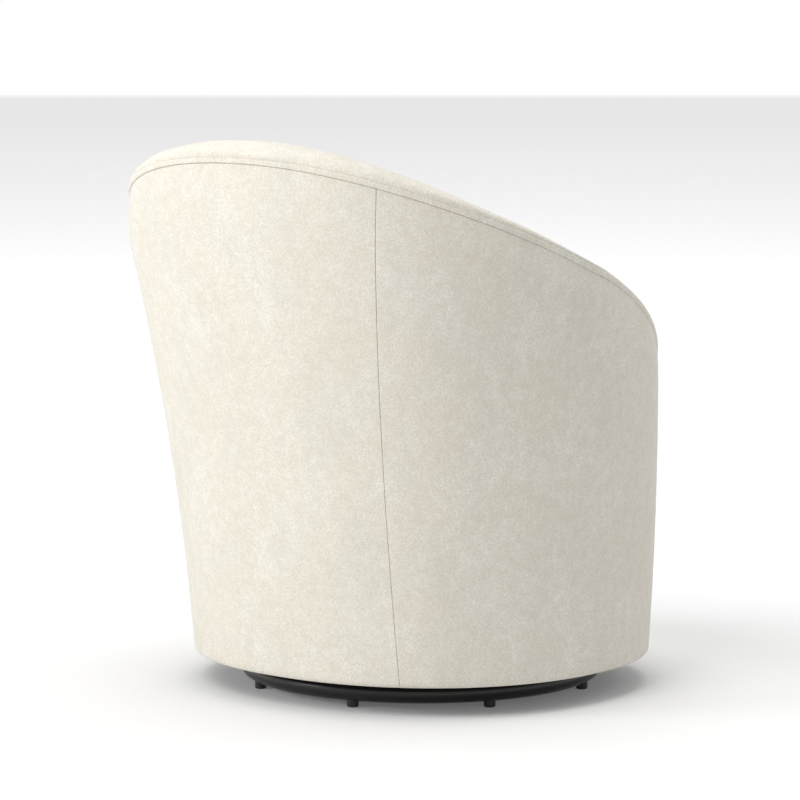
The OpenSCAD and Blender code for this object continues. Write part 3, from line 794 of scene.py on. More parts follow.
VELVET = Finish("IvoryVelvet", (0.875, 0.865, 0.80), (0.79, 0.77, 0.70), 0.92,
                pattern=Pattern.NAP, bump=0.35, bump_depth=0.0004, sheen=0.25,
                warm=(0.86, 0.80, 0.705), shade=(0.66, 0.60, 0.49), mottle=0.28, speckle=0.54)
FINISHES = {
    "ring_paint": Finish("SatinBlackPaint", (0.012, 0.0115, 0.011), (0.018, 0.0172, 0.0165), 0.29,
                         specular=0.36, grain_scale=1400.0, bump=0.12, bump_depth=0.0001),
    "glide_plastic": Finish("BlackNylon", (0.018, 0.018, 0.018), (0.03, 0.03, 0.03), 0.5, specular=0.4,
                            grain_scale=900.0, bump=0.15),
    "zinc_steel": Finish("ZincPlate", (0.58, 0.59, 0.60), (0.44, 0.45, 0.47), 0.34, 1.0,
                         grain_scale=500.0, tone_scale=60.0, bump=0.08),
    "ball_steel": Finish("BallSteel", (0.72, 0.73, 0.75), (0.66, 0.67, 0.69), 0.12, 1.0, bump=0.02),
    "cage_plastic": Finish("NaturalNylon", (0.72, 0.70, 0.62), (0.64, 0.62, 0.54), 0.5, bump=0.1),
    "plywood": Finish("BirchPly", (0.62, 0.44, 0.26), (0.47, 0.31, 0.17), 0.62, stretch=(1.0, 6.0, 30.0),
                      grain_scale=120.0, tone_scale=9.0, bump=0.2),
    "spring_wire": Finish("SpringWire", (0.20, 0.20, 0.21), (0.13, 0.12, 0.12), 0.42, 1.0, bump=0.1),
    "felt": Finish("GreyFelt", (0.30, 0.29, 0.28), (0.17, 0.17, 0.18), 0.95, grain_scale=700.0,
                   tone_scale=240.0, bump=0.6, bump_depth=0.0008),
    "webbing": Finish("ElasticWebbing", (0.46, 0.36, 0.22), (0.30, 0.22, 0.12), 0.8,
                      stretch=(1.0, 1.0, 8.0), grain_scale=800.0, tone_scale=200.0, bump=0.5),
    "fibreboard": Finish("PressedFibre", (0.42, 0.32, 0.21), (0.33, 0.24, 0.15), 0.85,
                         grain_scale=500.0, tone_scale=90.0, bump=0.3),
    "foam": Finish("CreamFoam", (0.76, 0.70, 0.47), (0.68, 0.60, 0.36), 0.9, grain_scale=900.0,
                   tone_scale=15.0, bump=0.7, bump_depth=0.0008),
    "black_cloth": Finish("BlackSpunCloth", (0.022, 0.022, 0.023), (0.034, 0.034, 0.035), 0.9,
                          grain_scale=1500.0, tone_scale=500.0, bump=0.5),
}


class Wardrobe:
    """Builds each material once and dresses pieces in it."""

    def __init__(self) -> None:
        """Builds the shared shader groups and every material."""
        groups = {Pattern.NAP: clouded_nap(), Pattern.GRAIN: worn_grain()}
        self.materials = {slot: finish.material(groups) for slot, finish in FINISHES.items()}
        self.materials["velvet"] = VELVET.material(groups)

    def dress(self, piece: bpy.types.Object, slot: str) -> None:
        """Gives a piece the material of a slot."""
        piece.data.materials.clear()
        piece.data.materials.append(self.materials[slot])

    def dress_nodes(self, nodes: dict[str, bpy.types.Object], slots: dict[str, str]) -> None:
        """Gives every CAD node the material of its slot."""
        for name, node in nodes.items():
            self.dress(node, slots[name])


# ---- Covers ----


@dataclass
class OuterCover:
    """The stretched panels outside the tub, cut in three, and the front apron."""

    form: TubForm = field(default_factory=TubForm)
    cloth: float = 0.003
    seam_gap: float = 0.00012
    seam_fold: float = 0.0007
    top_fold: float = 0.0012
    hem_fold: float = 0.006
    hem_under: float = 0.014
    deck_fold: float = 0.005
    deck_over: float = 0.03
    pucker: float = 0.00028
    pucker_reach: float = 0.012
    pucker_start: float = 0.003
    pucker_wave: float = 0.013
    slack: float = 0.0004
    slack_wave: float = 0.16
    slack_start: float = 0.03
    apron_wave: float = 0.15
    back_seed: int = 11
    side_seed: int = 23
    apron_seed: int = 31
    step: float = 0.0065
    seam_fine: tuple[float, ...] = (0.0, 0.0002, 0.0004, 0.0008, 0.0018, 0.0036, 0.007)
    hem_fine: tuple[float, ...] = (0.0, 0.0006, 0.0015, 0.003, 0.006)
    apron_fine: tuple[float, ...] = (0.0, 0.001, 0.003, 0.007)

    def turned_under(self, turn: Points) -> tuple[Points, Points]:
        """The cloth that is turned in under the hem.

        Args:
            turn: Turns of the columns, as one row.

        Returns:
            Its rows of points and their directions inwards.
        """
        under = np.linspace(self.hem_under, self.hem_fold, 4)[:-1]
        below = self.form.wall(turn, self.form.hem_z, under[:, None])
        return below, np.broadcast_to(UP, below.shape)

    def columns(self, z: Points, shares: Points, back: bool) -> tuple[Points, Points]:
        """Turns of a panel's columns, and their distance from its nearer upright seam.

        Args:
            z: Heights, one to a row.
            shares: Shares of the way across the panel.
            back: True for the back panel, False for the right side panel.

        Returns:
            The turns and the distances, rows by columns.
        """
        form = self.form
        per = form.per_degree
        seam = form.seam_turn(z)[..., None]
        if back:
            edge = seam - self.seam_gap / per
            turn = edge * (2 * shares - 1)
            return turn, (edge - np.abs(turn)) * per
        start = seam + self.seam_gap / per
        turn = start + (form.arm_turn - start) * shares
        return turn, (turn - start) * per

    def panel_grid(self, shares: Points, tops: Points, back: bool, seed: int) -> tuple[Points, Points]:
        """The outer face of a panel, with its folds, puckers and slack.

        Args:
            shares: Shares of the way across the panel.
            tops: Height of the top edge in each column.
            back: True for the back panel, False for the right side panel.
            seed: Seed of its slack.

        Returns:
            The grid of points and the grid of directions inwards.
        """
        form = self.form
        height = form.back_z - form.hem_z
        rows = spacing(height, self.step, self.hem_fine)
        z = form.hem_z + rows[:, None] * (tops - form.hem_z)[None, :]
        turn = np.zeros_like(z)
        near = np.zeros_like(z)
        for j, share in enumerate(shares):
            turns, distance = self.columns(z[:, j], np.array([share]), back)
            turn[:, j], near[:, j] = turns[:, 0], distance[:, 0]
        inset = fold_in(near, self.seam_fold)
        inset = inset + fold_in(tops[None, :] - z, self.top_fold)
        inset = inset + fold_in(z - form.hem_z, self.hem_fold)
        if not back:
            ahead = (form.arm_turn - turn) * form.per_degree
            inset = inset + fold_in(ahead, self.seam_fold)
        along = turn * form.per_degree
        fade = np.exp(-near / self.pucker_reach) * (1 - np.exp(-near / self.pucker_start))
        inset = inset + self.pucker * fade * ripple(near * 0.4, z, seed + 1, self.pucker_wave)
        calm = np.clip(near / self.slack_start, 0, 1)
        calm = calm * np.clip((tops[None, :] - z) / self.slack_start, 0, 1)
        waves = ripple(along, z * 0.7, seed, self.slack_wave)
        inset = inset + self.slack * calm * (1 + waves) * 0.5
        below, up = self.turned_under(turn[:1])
        grid = np.concatenate([below, form.wall(turn, z, inset)])
        return grid, np.concatenate([up, form.inwards(turn, z)])

    def back_panel(self) -> bpy.types.Object:
        """Makes the back panel between the two upright seams."""
        form = self.form
        length = 2 * float(form.seam_turn(np.array(0.4))) * form.per_degree
        shares = spacing(length, self.step, self.seam_fine)
        turns = (2 * shares - 1) * form.seam_turns[1]
        for _ in range(4):
            turns = (2 * shares - 1) * form.seam_turn(form.edge(turns))
        grid, inwards = self.panel_grid(shares, form.edge(turns), True, self.back_seed)
        return cloth_piece("outer_back", grid, self.cloth, inwards)

    def side_grid(self) -> tuple[Points, Points]:
        """The outer face of the sitter's right side panel, and its directions inwards."""
        form = self.form
        length = (form.arm_turn - form.seam_turns[1]) * form.per_degree
        shares = spacing(length, self.step, self.seam_fine)
        turns = form.seam_turns[2] + shares * (form.arm_turn - form.seam_turns[2])
        for _ in range(4):
            start = form.seam_turn(form.edge(turns))
            turns = start + shares * (form.arm_turn - start)
        return self.panel_grid(shares, form.edge(turns), False, self.side_seed)

    def side_panels(self) -> list[bpy.types.Object]:
        """Makes the two side panels, each the mirror image of the other."""
        grid, inwards = self.side_grid()
        right = cloth_piece("outer_side_right", grid, self.cloth, inwards)
        left = cloth_piece("outer_side_left", grid * MIRROR, self.cloth, inwards * MIRROR)
        return [right, left]

    def apron(self) -> bpy.types.Object:
        """Makes the front apron, folded in over the deck's front rail."""
        form = self.form
        first = form.end_turn(form.welt_d)
        wide = 360 - 2 * first
        turn = first + spacing(wide * form.per_degree, self.step, self.apron_fine) * wide
        turn = turn[None, :]
        height = form.deck_z - form.hem_z
        z = form.hem_z + spacing(height, self.step, self.hem_fine)[:, None] * height
        inset = fold_in(z - form.hem_z, self.hem_fold) + fold_in(form.deck_z - z, self.deck_fold)
        waves = ripple(turn * form.per_degree, z, self.apron_seed, self.apron_wave)
        inset = inset + self.slack * (1 + waves) * 0.5
        below, up = self.turned_under(turn)
        over = np.linspace(self.deck_fold, self.deck_over, 4)[1:]
        above = form.wall(turn, form.deck_z, over[:, None])
        grid = np.concatenate([below, form.wall(turn, z, inset), above])
        down = np.broadcast_to(-UP, above.shape)
        return cloth_piece("apron", grid, self.cloth, np.concatenate([up, form.inwards(turn, z), down]))

    def build(self, wardrobe: Wardrobe) -> list[bpy.types.Object]:
        """Builds, dresses and places the four pieces.

        Args:
            wardrobe: The materials.

        Returns:
            The pieces.
        """
        made = [self.back_panel(), *self.side_panels(), self.apron()]
        nodes = ("outer_back_panel", "outer_side_panel_right", "outer_side_panel_left", "front_apron")
        rests = ("shell_liner", "shell_liner", "shell_liner", "apron_liner")
        for piece, node, rest in zip(made, nodes, rests):
            wardrobe.dress(piece, "velvet")
            settle(piece, "velvet", node)
        return made


class GeometryTree:
    """A Geometry Nodes tree whose sizes are named inputs, run once on a path and baked."""

    def __init__(self, name: str, inputs: dict[str, float]) -> None:
        """Starts the tree.

        Args:
            name: Name of the tree.
            inputs: Its number inputs and their defaults.
        """
        self.group = bpy.data.node_groups.new(name, "GeometryNodeTree")
        self.nodes = NodeTree(self.group)
        face = self.group.interface
        face.new_socket("Geometry", in_out="INPUT", socket_type="NodeSocketGeometry")
        for socket, value in inputs.items():
            face.new_socket(socket, in_out="INPUT", socket_type="NodeSocketFloat").default_value = value
        face.new_socket("Material", in_out="INPUT", socket_type="NodeSocketMaterial")
        face.new_socket("Geometry", in_out="OUTPUT", socket_type="NodeSocketGeometry")
        self.source = self.nodes.add("NodeGroupInput").outputs
        self.target = self.nodes.add("NodeGroupOutput").inputs

    def named(self, name: str, data_type: str) -> bpy.types.NodeSocket:
        """Reads an attribute of the path."""
        return self.nodes.add("GeometryNodeInputNamedAttribute", {"Name": name},
                              data_type=data_type).outputs["Attribute"]

    def end(self, made: bpy.types.NodeSocket) -> None:
        """Ends the tree in Realize Instances and Set Material."""
        real = self.nodes.add("GeometryNodeRealizeInstances", {"Geometry": made})
        paint = self.nodes.add("GeometryNodeSetMaterial", {"Geometry": real.outputs[0],
                                                           "Material": self.source["Material"]})
        self.nodes.put(paint.outputs[0], self.target["Geometry"])

    def run(self, name: str, path: Points, facing: Points, size: Points, closed: bool,
            material: bpy.types.Material, **values: float) -> bpy.types.Object:
        """Runs the tree along a path and bakes the result.

        Args:
            name: Name of the piece.
            path: Points of the path.
            facing: Direction that faces out at each point.
            size: Scale of the section at each point.
            closed: True if the path's last point joins the first.
            material: Its material.
            **values: Values of the inputs, with _ for a space in a name.

        Returns:
            The baked piece.
        """
        mesh = bpy.data.meshes.new(name)
        count = len(path)
        edges = [(i, (i + 1) % count) for i in range(count if closed else count - 1)]
        mesh.from_pydata(path.tolist(), edges, [])
        turned = mesh.attributes.new("facing", "FLOAT_VECTOR", "POINT")
        turned.data.foreach_set("vector", facing.ravel())
        scaled = mesh.attributes.new("size", "FLOAT", "POINT")
        scaled.data.foreach_set("value", np.asarray(size, float))
        piece = bpy.data.objects.new(name, mesh)
        bpy.context.scene.collection.objects.link(piece)
        changer = piece.modifiers.new(name, "NODES")
        changer.node_group = self.group
        given = {**values, "material": material}
        for item in self.group.interface.items_tree:
            key = item.name.replace(" ", "_").lower()
            if item.in_out == "INPUT" and key in given:
                changer[item.identifier] = given[key]
        seen = piece.evaluated_get(bpy.context.evaluated_depsgraph_get())
        baked = bpy.data.meshes.new_from_object(seen)
        piece.modifiers.remove(changer)
        piece.data = baked
        baked.name = name
        for attribute in ("facing", "size"):
            if attribute in baked.attributes:
                baked.attributes.remove(baked.attributes[attribute])
        return piece


def cord_tree() -> GeometryTree:
    """Builds the tree for a covered cord along a seam, slightly puckered by its stitching."""
    tree = GeometryTree("CoveredCord", {"Radius": 0.0037, "Flatness": 0.8, "Roundness": 1.0,
                                        "Pucker": 0.0002, "Pucker scale": 80.0, "Spacing": 0.004})
    add, product, source = tree.nodes.add, partial(tree.nodes.math, "MULTIPLY"), tree.source
    curve = add("GeometryNodeMeshToCurve", {"Mesh": source["Geometry"]})
    even = add("GeometryNodeResampleCurve", {"Curve": curve.outputs[0], "Length": source["Spacing"]},
               mode="LENGTH")
    facing = tree.named("facing", "FLOAT_VECTOR")
    face = add("GeometryNodeSetCurveNormal", {"Curve": even.outputs[0], "Normal": facing}, mode="FREE")
    height = product(source["Radius"], 2.0)
    width = product(height, source["Flatness"])
    section = add("GeometryNodeCurvePrimitiveQuadrilateral", {"Width": width, "Height": height},
                  mode="RECTANGLE")
    bend = product(product(width, 0.499), source["Roundness"])
    corners = add("GeometryNodeFilletCurve", {"Curve": section.outputs["Curve"], "Radius": bend,
                                              "Count": 4, "Limit Radius": True}, mode="POLY")
    sweep = add("GeometryNodeCurveToMesh", {
        "Curve": face.outputs[0], "Profile Curve": corners.outputs["Curve"],
        "Scale": tree.named("size", "FLOAT"), "Fill Caps": True})
    where = add("GeometryNodeInputPosition").outputs[0]
    waves = tree.nodes.noise(where, source["Pucker scale"], 1.0)
    lift = product(tree.nodes.math("SUBTRACT", waves, 0.5), source["Pucker"])
    out = add("GeometryNodeInputNormal").outputs[0]
    along = add("ShaderNodeVectorMath", {0: out, "Scale": lift}, operation="SCALE")
    move = add("GeometryNodeSetPosition", {"Geometry": sweep.outputs[0], "Offset": along.outputs[0]})
    smooth = add("GeometryNodeSetShadeSmooth", {"Geometry": move.outputs[0]})
    tree.end(smooth.outputs[0])
    return tree


def staple_tree() -> GeometryTree:
    """Builds the tree for a row of staples along a path, each turned a little at random."""
    tree = GeometryTree("StapleRow", {"Pitch": 0.03, "Length": 0.010, "Wire": 0.0009, "Turn": 0.12})
    add, source = tree.nodes.add, tree.source
    curve = add("GeometryNodeMeshToCurve", {"Mesh": source["Geometry"]})
    points = add("GeometryNodeCurveToPoints", {"Curve": curve.outputs[0], "Length": source["Pitch"]},
                 mode="LENGTH")
    size = add("ShaderNodeCombineXYZ", {"X": source["Wire"], "Y": source["Wire"], "Z": source["Length"]})
    bar = add("GeometryNodeMeshCube", {"Size": size.outputs[0]})
    least = tree.nodes.math("MULTIPLY", source["Turn"], -1.0)
    turn = add("FunctionNodeRandomValue", {2: least, 3: source["Turn"], "Seed": 7}, data_type="FLOAT")
    spin = add("ShaderNodeCombineXYZ", {"Y": turn.outputs[1]})
    rotate = add("FunctionNodeRotateRotation", {0: points.outputs["Rotation"], 1: spin.outputs[0]},
                 rotation_space="LOCAL")
    place = add("GeometryNodeInstanceOnPoints", {
        "Points": points.outputs["Points"], "Instance": bar.outputs["Mesh"],
        "Rotation": rotate.outputs[0]})
    tree.end(place.outputs["Instances"])
    return tree


@dataclass
class Welt:
    """The covered cord along the top seam and down the front of both arms."""

    form: TubForm = field(default_factory=TubForm)
    flatness: float = 0.86
    roundness: float = 0.55
    pucker: float = 0.0004
    spacing: float = 0.004
    foot: float = 0.001

    def path(self) -> tuple[Points, Points, Points]:
        """The cord's middle line.

        Returns:
            Its points, the outward direction and the cord's size at each.
        """
        form = self.form
        r = form.welt_d / 2
        last = form.end_turn(r)
        turns = np.concatenate([np.linspace(0, form.corner_turn, 220)[:-1],
                                form.corner_turn + (last - form.corner_turn)
                                * np.sin(np.linspace(0, math.pi / 2, 26))])
        z = form.edge(turns, r)
        down = np.linspace(form.corner_z, form.hem_z + self.foot, 70)[1:]
        turns = np.concatenate([turns, np.full(len(down), last)])
        z = np.concatenate([z, down])
        path = form.wall(turns, z, r / 2)
        out = -form.inwards(turns, z)
        size = np.minimum(1.0, form.width(z) / form.width(form.edge_heights[3]))
        path, out = (np.concatenate([half[:0:-1] * MIRROR, half]) for half in (path, out))
        return path, unit(out), np.concatenate([size[:0:-1], size])

    def build(self, wardrobe: Wardrobe) -> list[bpy.types.Object]:
        """Builds the cord.

        Args:
            wardrobe: The materials.

        Returns:
            The one piece.
        """
        path, out, size = self.path()
        cord = cord_tree().run("welt", path, out, size, False, wardrobe.materials["velvet"],
                               radius=self.form.welt_d / 2, flatness=self.flatness,
                               roundness=self.roundness, pucker=self.pucker, spacing=self.spacing)
        settle(cord, "velvet", "top_welt")
        return [cord]


@dataclass
class TubLining:
    """The padded inside of the tub with its roll and its round arm fronts, as one cover."""

    form: TubForm = field(default_factory=TubForm)
    step: float = 0.0078
    seam_in: float = 0.0002
    arm_seam_in: float = 0.0013
    seam_lap: float = 0.0013
    seam_below: float = 0.001
    roll_steps: int = 14
    wall_steps: int = 44
    nose_steps: int = 16
    nose_first: float = 14.0
    nose_fine: tuple[float, ...] = (0.0, 2.6, 5.2)
    pad_in: float = 0.0305
    welt_in: float = 0.0059
    groove: float = 0.0011
    groove_half: float = 0.003
    swell: float = 0.004
    fill: float = 0.75

    def turns(self) -> Points:
        """Turns of the columns, finer round the arm fronts' corners and seams."""
        form = self.form
        corner = form.corner_turn
        count = round(corner * form.per_degree / self.step)
        even = np.linspace(0, corner, count)[:-1]
        bend = corner + (form.nose_turn - corner) * np.sin(np.linspace(0, math.pi / 2, 9))
        fine = form.nose_turn - np.array([self.groove_half, self.groove_half / 2]) / form.per_degree
        half = np.sort(np.concatenate([even, bend[bend < fine[0] - 0.1], fine, [form.nose_turn]]))
        return np.concatenate([-half[:0:-1], half])

    def sections(self, turns: Points) -> tuple[Points, Points]:
        """The cover's line at each turn, from the seam over the roll to the deck.

        Args:
            turns: The turns.

        Returns:
            Insets and heights, columns by samples.
        """
        form, n = self.form, self.roll_steps
        t = turns[:, None]
        base, rise = form.roll_base(t), form.roll_height(t) - form.welt_d
        width = form.wall_thickness(t)
        drop = np.maximum(base - form.edge(t, form.welt_d), 0)
        arc = np.radians(np.linspace(0, 90, 61))
        x = width / 2 * (1 - np.cos(arc))[None, :]
        z = base + rise * np.sin(arc)[None, :]
        outer_x = np.concatenate([np.zeros_like(base), x], axis=1)
        outer_z = np.concatenate([base - drop, z], axis=1)
        length = np.cumsum(np.hypot(np.diff(outer_x), np.diff(outer_z)), axis=1)
        length = np.concatenate([np.zeros_like(base), length], axis=1)
        inset, height = [], []
        for k in range(len(turns)):
            want = np.linspace(0, length[k, -1], n + 1)
            inset.append(np.interp(want, length[k], outer_x[k]))
            height.append(np.interp(want, length[k], outer_z[k]))
        inset, height = np.array(inset), np.array(height)
        fall = np.radians(np.linspace(90, 180, n + 1))[1:]
        over_x = width / 2 * (1 - np.cos(fall))[None, :]
        over_z = base + rise * np.sin(fall)[None, :]
        down = np.linspace(0, 1, self.wall_steps + 1)[1:]
        down_z = base + (form.deck_z - base) * down[None, :]
        down_x = np.broadcast_to(width, down_z.shape)
        inset = np.concatenate([inset, over_x, down_x], axis=1)
        inset[:, 0] = self.arm_seam_in + (self.seam_in - self.arm_seam_in) * form.backness(turns)
        height[:, 0] -= self.seam_lap
        return inset, np.concatenate([height, over_z, down_z], axis=1)

    def hidden(self, turns: Points, seam_z: Points) -> Points:
        """Points of each column that close it behind the pad, from the deck up to the seam."""
        form = self.form
        top = seam_z[:, None] - self.seam_below
        z = form.deck_z + (top - form.deck_z) * np.array([[0.0, 0.33, 0.67, 1.0, 1.0]])
        inset = np.array([self.pad_in] * 4 + [self.welt_in])
        return form.wall(turns[:, None], z, inset[None, :])

    def nose(self, z: Points, angle: Points, base: float, rise: float) -> Points:
        """Points of the half-round end of the right arm.

        Args:
            z: Heights.
            angle: Angles round it, 0 outside and 180 inside.
            base: Height at which its top starts to round.
            rise: Rise of its top.

        Returns:
            The points.
        """
        form = self.form
        a = form.wall(form.nose_turn, z)
        b = form.wall(form.nose_turn, z, form.arm_wall)
        across = b - a
        half = np.linalg.norm(across, axis=-1, keepdims=True) / 2
        across = across / (2 * half)
        ahead = np.stack([across[..., 1], -across[..., 0], 0 * z], axis=-1)
        u = np.clip((z - base) / rise, 0, 1)
        r = half * np.sqrt(1 - u * u)[..., None]
        v = np.radians(angle)[..., None]
        return (a + b) / 2 + ahead * r * np.sin(v) - across * r * np.cos(v)

    def mesh(self) -> tuple[Points, Faces, list[int], Points]:
        """Builds the closed mesh.

        Returns:
            Its points, its faces, the points that seams hold, and which points are grooved.
        """
        form = self.form
        turns = self.turns()
        inset, height = self.sections(turns)
        face = form.wall(turns[:, None], height, inset)
        back = self.hidden(turns, height[:, 0])
        tube = np.concatenate([face, back], axis=1)
        columns, ring = tube.shape[:2]
        samples = face.shape[1]
        faces = grid_faces(columns, ring, round_columns=True)
        points = [tube.reshape(-1, 3)]
        ids = np.arange(columns * ring).reshape(columns, ring)
        pinned = set(ids[:, 0]) | set(ids[:, samples - 1:].ravel())
        total = columns * ring
        n, count = self.roll_steps, self.roll_steps + self.wall_steps
        base = float(form.roll_base(np.array(form.nose_turn)))
        rise = float(form.roll_height(np.array(form.nose_turn))) - form.welt_d
        fine = np.array(self.nose_fine)
        middle = np.linspace(self.nose_first, 180 - self.nose_first, self.nose_steps)
        angles = np.concatenate([fine, middle, 180 - fine[::-1]])
        grooved = [ids[0], ids[-1]]
        for side, end in ((-1.0, 0), (1.0, columns - 1)):
            outer = height[end, n::-1]
            inner = height[end, n:n + count + 1]
            low = np.linspace(outer[-1], form.deck_z, self.wall_steps + 1)[1:]
            outer = np.concatenate([outer, low])
            share = (angles / 180)[None, :]
            z = outer[:, None] * (1 - share) + inner[:, None] * share
            grid = self.nose(z, np.broadcast_to(angles, z.shape), base, rise)
            grid[..., 0] *= side
            made = np.full(z.shape, -1)
            made[0, :] = ids[end, n]
            made[:, -1] = ids[end, n:n + count + 1]
            made[:n + 1, 0] = ids[end, n::-1]
            new = made < 0
            made[new] = total + np.arange(new.sum())
            total += int(new.sum())
            points.append(grid[new])
            for j in range(len(angles) - 1):
                faces.append([made[0, 0], made[1, j], made[1, j + 1]])
                for i in range(1, count):
                    faces.append([made[i, j], made[i + 1, j], made[i + 1, j + 1], made[i, j + 1]])
            rear = list(ids[end, samples:])
            faces.append([int(i) for i in [*made[n:, 0], *rear]])
            faces.append([int(i) for i in [*made[-1, :], rear[0]]])
            pinned |= set(made[n:, 0]) | set(made[-1, :])
            grooved.append(made[n:, 0])
        faces = [[int(i) for i in face] for face in faces]
        points = np.concatenate(points)
        held = np.zeros(len(points), bool)
        held[np.concatenate([g[:samples] if len(g) == ring else g for g in grooved])] = True
        return points, faces, sorted(int(i) for i in pinned), held

    def build(self, wardrobe: Wardrobe) -> list[bpy.types.Object]:
        """Builds and fills the lining.

        Args:
            wardrobe: The materials.

        Returns:
            The one piece.
        """
        points, faces, pinned, held = self.mesh()
        piece = make_piece("tub_lining", points, faces)
        seam = np.flatnonzero(held)
        normals = np.empty(len(points) * 3)
        piece.data.vertices.foreach_get("normal", normals)
        points[seam] -= normals.reshape(-1, 3)[seam] * self.groove
        piece.data.vertices.foreach_set("co", points.ravel())
        piece.data.update()
        held_points = sorted(set(pinned) | set(seam.tolist()))
        Filling().inflate(piece, held_points, np.full(len(points), self.swell))
        wardrobe.dress(piece, "velvet")
        settle(piece, "velvet", "inner_cover", "arm_front_left", "arm_front_right",
               "back_pad", "arm_pads")
        return [piece]


@dataclass
class SeatCushion:
    """The boxed cushion, with ears in front of the arms and a welt round both its seams."""

    form: TubForm = field(default_factory=TubForm)
    clear: float = 0.0009
    arm_clear: float = 0.0012
    bottom: float = 0.2283
    low_seam: float = 0.2365
    top_seam: float = 0.3815
    crown: float = 0.030
    crown_spread: float = 0.16
    corner: float = 0.018
    bulge: float = 0.008
    edge: float = 0.008
    step: float = 0.0045
    rows: int = 16
    swell: float = 0.006
    side_swell: float = 0.001
    welt_r: float = 0.0028
    welt_flatness: float = 0.9
    welt_roundness: float = 1.0
    welt_pucker: float = 0.0004
    welt_spacing: float = 0.004
    nose_arc: tuple[float, float] = (175.0, 63.0)
    corner_arc: tuple[float, float] = (12.0, 90.0)
    pucker: float = 0.0007
    pucker_reach: float = 0.02
    pucker_wave: float = 0.016
    pucker_seed: int = 5
    slow: float = 0.0012
    slow_wave: float = 0.2
    slow_seed: int = 9
    edge_rows: tuple[float, ...] = (0.003, 0.0065, 0.011, 0.0165)
    top_grid: float = 0.0095
    under_grid: float = 0.04
    fill: float = 0.9

    def outline(self, z: float, out: float) -> Points:
        """The cushion's plan at a height.

        Args:
            z: The height.
            out: How far the front bulges.

        Returns:
            Its points in plan, all round, the same number at every height.
        """
        form = self.form
        turns = np.linspace(0, form.nose_turn, 150)
        wall = form.wall(turns, z, form.wall_thickness(turns) + self.clear)[:, :2]
        a, b = form.wall(form.nose_turn, z)[:2], form.wall(form.nose_turn, z, form.arm_wall)[:2]
        across = b - a
        half = float(np.linalg.norm(across)) / 2
        across = across / (2 * half)
        ahead = np.array([across[1], -across[0]])
        v = np.radians(np.linspace(*self.nose_arc, 30))[:, None]
        r = half + self.arm_clear
        nose = (a + b) / 2 + ahead * (0.0003 + r * np.sin(v)) - across * r * np.cos(v)
        ear = form.nose_turn + (half + self.arm_clear) / form.per_degree
        v = np.radians(np.linspace(*self.corner_arc, 14))
        turn = ear + self.corner / form.per_degree * (1 - np.cos(v))
        corner = form.wall(turn, z, self.corner * (1 - np.sin(v)) - out)[:, :2]
        front = form.wall(np.linspace(turn[-1], 180, 80)[1:], z, -out)[:, :2]
        path = np.concatenate([wall, nose, corner, front])
        return np.concatenate([path[:-1], path[:0:-1] * MIRROR[:2]])

    def crown_height(self, distance: Points) -> Points:
        """Rise of the top over its seam at a distance from the edge."""
        return self.crown * (1 - (1 - np.clip(distance / self.crown_spread, 0, 1)) ** 2.6)

    def top(self, ring: Points) -> tuple[Points, Faces]:
        """The crowned top, with its puckers and slow waves.

        Args:
            ring: The top seam in plan.

        Returns:
            Its points, the seam's first, and its faces.
        """
        plan, faces = panel_fill(ring, self.edge_rows, self.top_grid)
        x, y = plan.T
        distance = edge_distance(plan, ring)
        rise = self.crown_height(distance)
        pucker = ripple(x, y, self.pucker_seed, self.pucker_wave)
        pucker = self.pucker * np.exp(-distance / self.pucker_reach) * pucker
        slow = self.slow * ripple(x, y, self.slow_seed, self.slow_wave) * (rise / self.crown)
        rise = rise + np.where(rise > 1e-6, pucker, 0) + slow
        return np.column_stack([plan, self.top_seam + rise]), faces

    def shell(self, shares: Points) -> tuple[Points, Faces, list[int], Points]:
        """The closed cover.

        Args:
            shares: Where its columns stand along the outline.

        Returns:
            Its points, its faces, the points that its seams hold, and how far each may move.
        """
        count = len(shares)
        crowned, faces = self.top(at_shares(self.outline(self.top_seam, 0.0), shares))
        points = [crowned]
        caps = [np.where(np.arange(len(crowned)) < count, 0.0, self.swell)]
        total = len(crowned)
        rows = [np.arange(count)]
        for v in np.linspace(1, -1, self.rows + 1)[1:]:
            z = self.low_seam + (self.top_seam - self.low_seam) * (v + 1) / 2
            row = at_shares(self.outline(z, self.bulge * (1 - v * v)), shares)
            points.append(np.column_stack([row, np.full(count, z)]))
            caps.append(np.full(count, self.side_swell))
            rows.append(total + np.arange(count))
            total += count
        row = at_shares(self.outline(self.bottom, 0.0), shares)
        row = row + unit(row.mean(axis=0) - row) * self.edge
        under, below = panel_fill(row, (), self.under_grid)
        points.append(np.column_stack([under, np.full(len(under), self.bottom)]))
        caps.append(np.zeros(len(under)))
        pinned = [*range(count), *rows[-1].tolist(), *range(total, total + len(under))]
        faces += bands(rows)
        faces += [[int(i) + total for i in reversed(face)] for face in below]
        faces += bands([rows[-1], total + np.arange(count)])
        return np.concatenate(points), faces, pinned, np.concatenate(caps)

    def welts(self, shares: Points, wardrobe: Wardrobe) -> list[bpy.types.Object]:
        """Sews the two welts.

        Args:
            shares: Where the cover's columns stand along the outline.
            wardrobe: The materials.

        Returns:
            The upper and the lower welt.
        """
        made = []
        tree = cord_tree()
        middle = at_shares(self.outline(self.bottom, 0.0), shares).mean(axis=0)
        for name, z in (("cushion_top_welt", self.top_seam), ("cushion_bottom_welt", self.low_seam)):
            line = at_shares(self.outline(z, 0.0), shares)
            inside = line + unit(middle - line) * self.welt_r * 0.5
            path = np.column_stack([inside, np.full(len(line), z)])
            out = unit(np.column_stack([line - middle, np.zeros(len(line))]))
            cord = tree.run(name, path, out, np.ones(len(line)), True, wardrobe.materials["velvet"],
                            radius=self.welt_r, flatness=self.welt_flatness,
                            roundness=self.welt_roundness, pucker=self.welt_pucker,
                            spacing=self.welt_spacing)
            settle(cord, "velvet")
            made.append(cord)
        return made

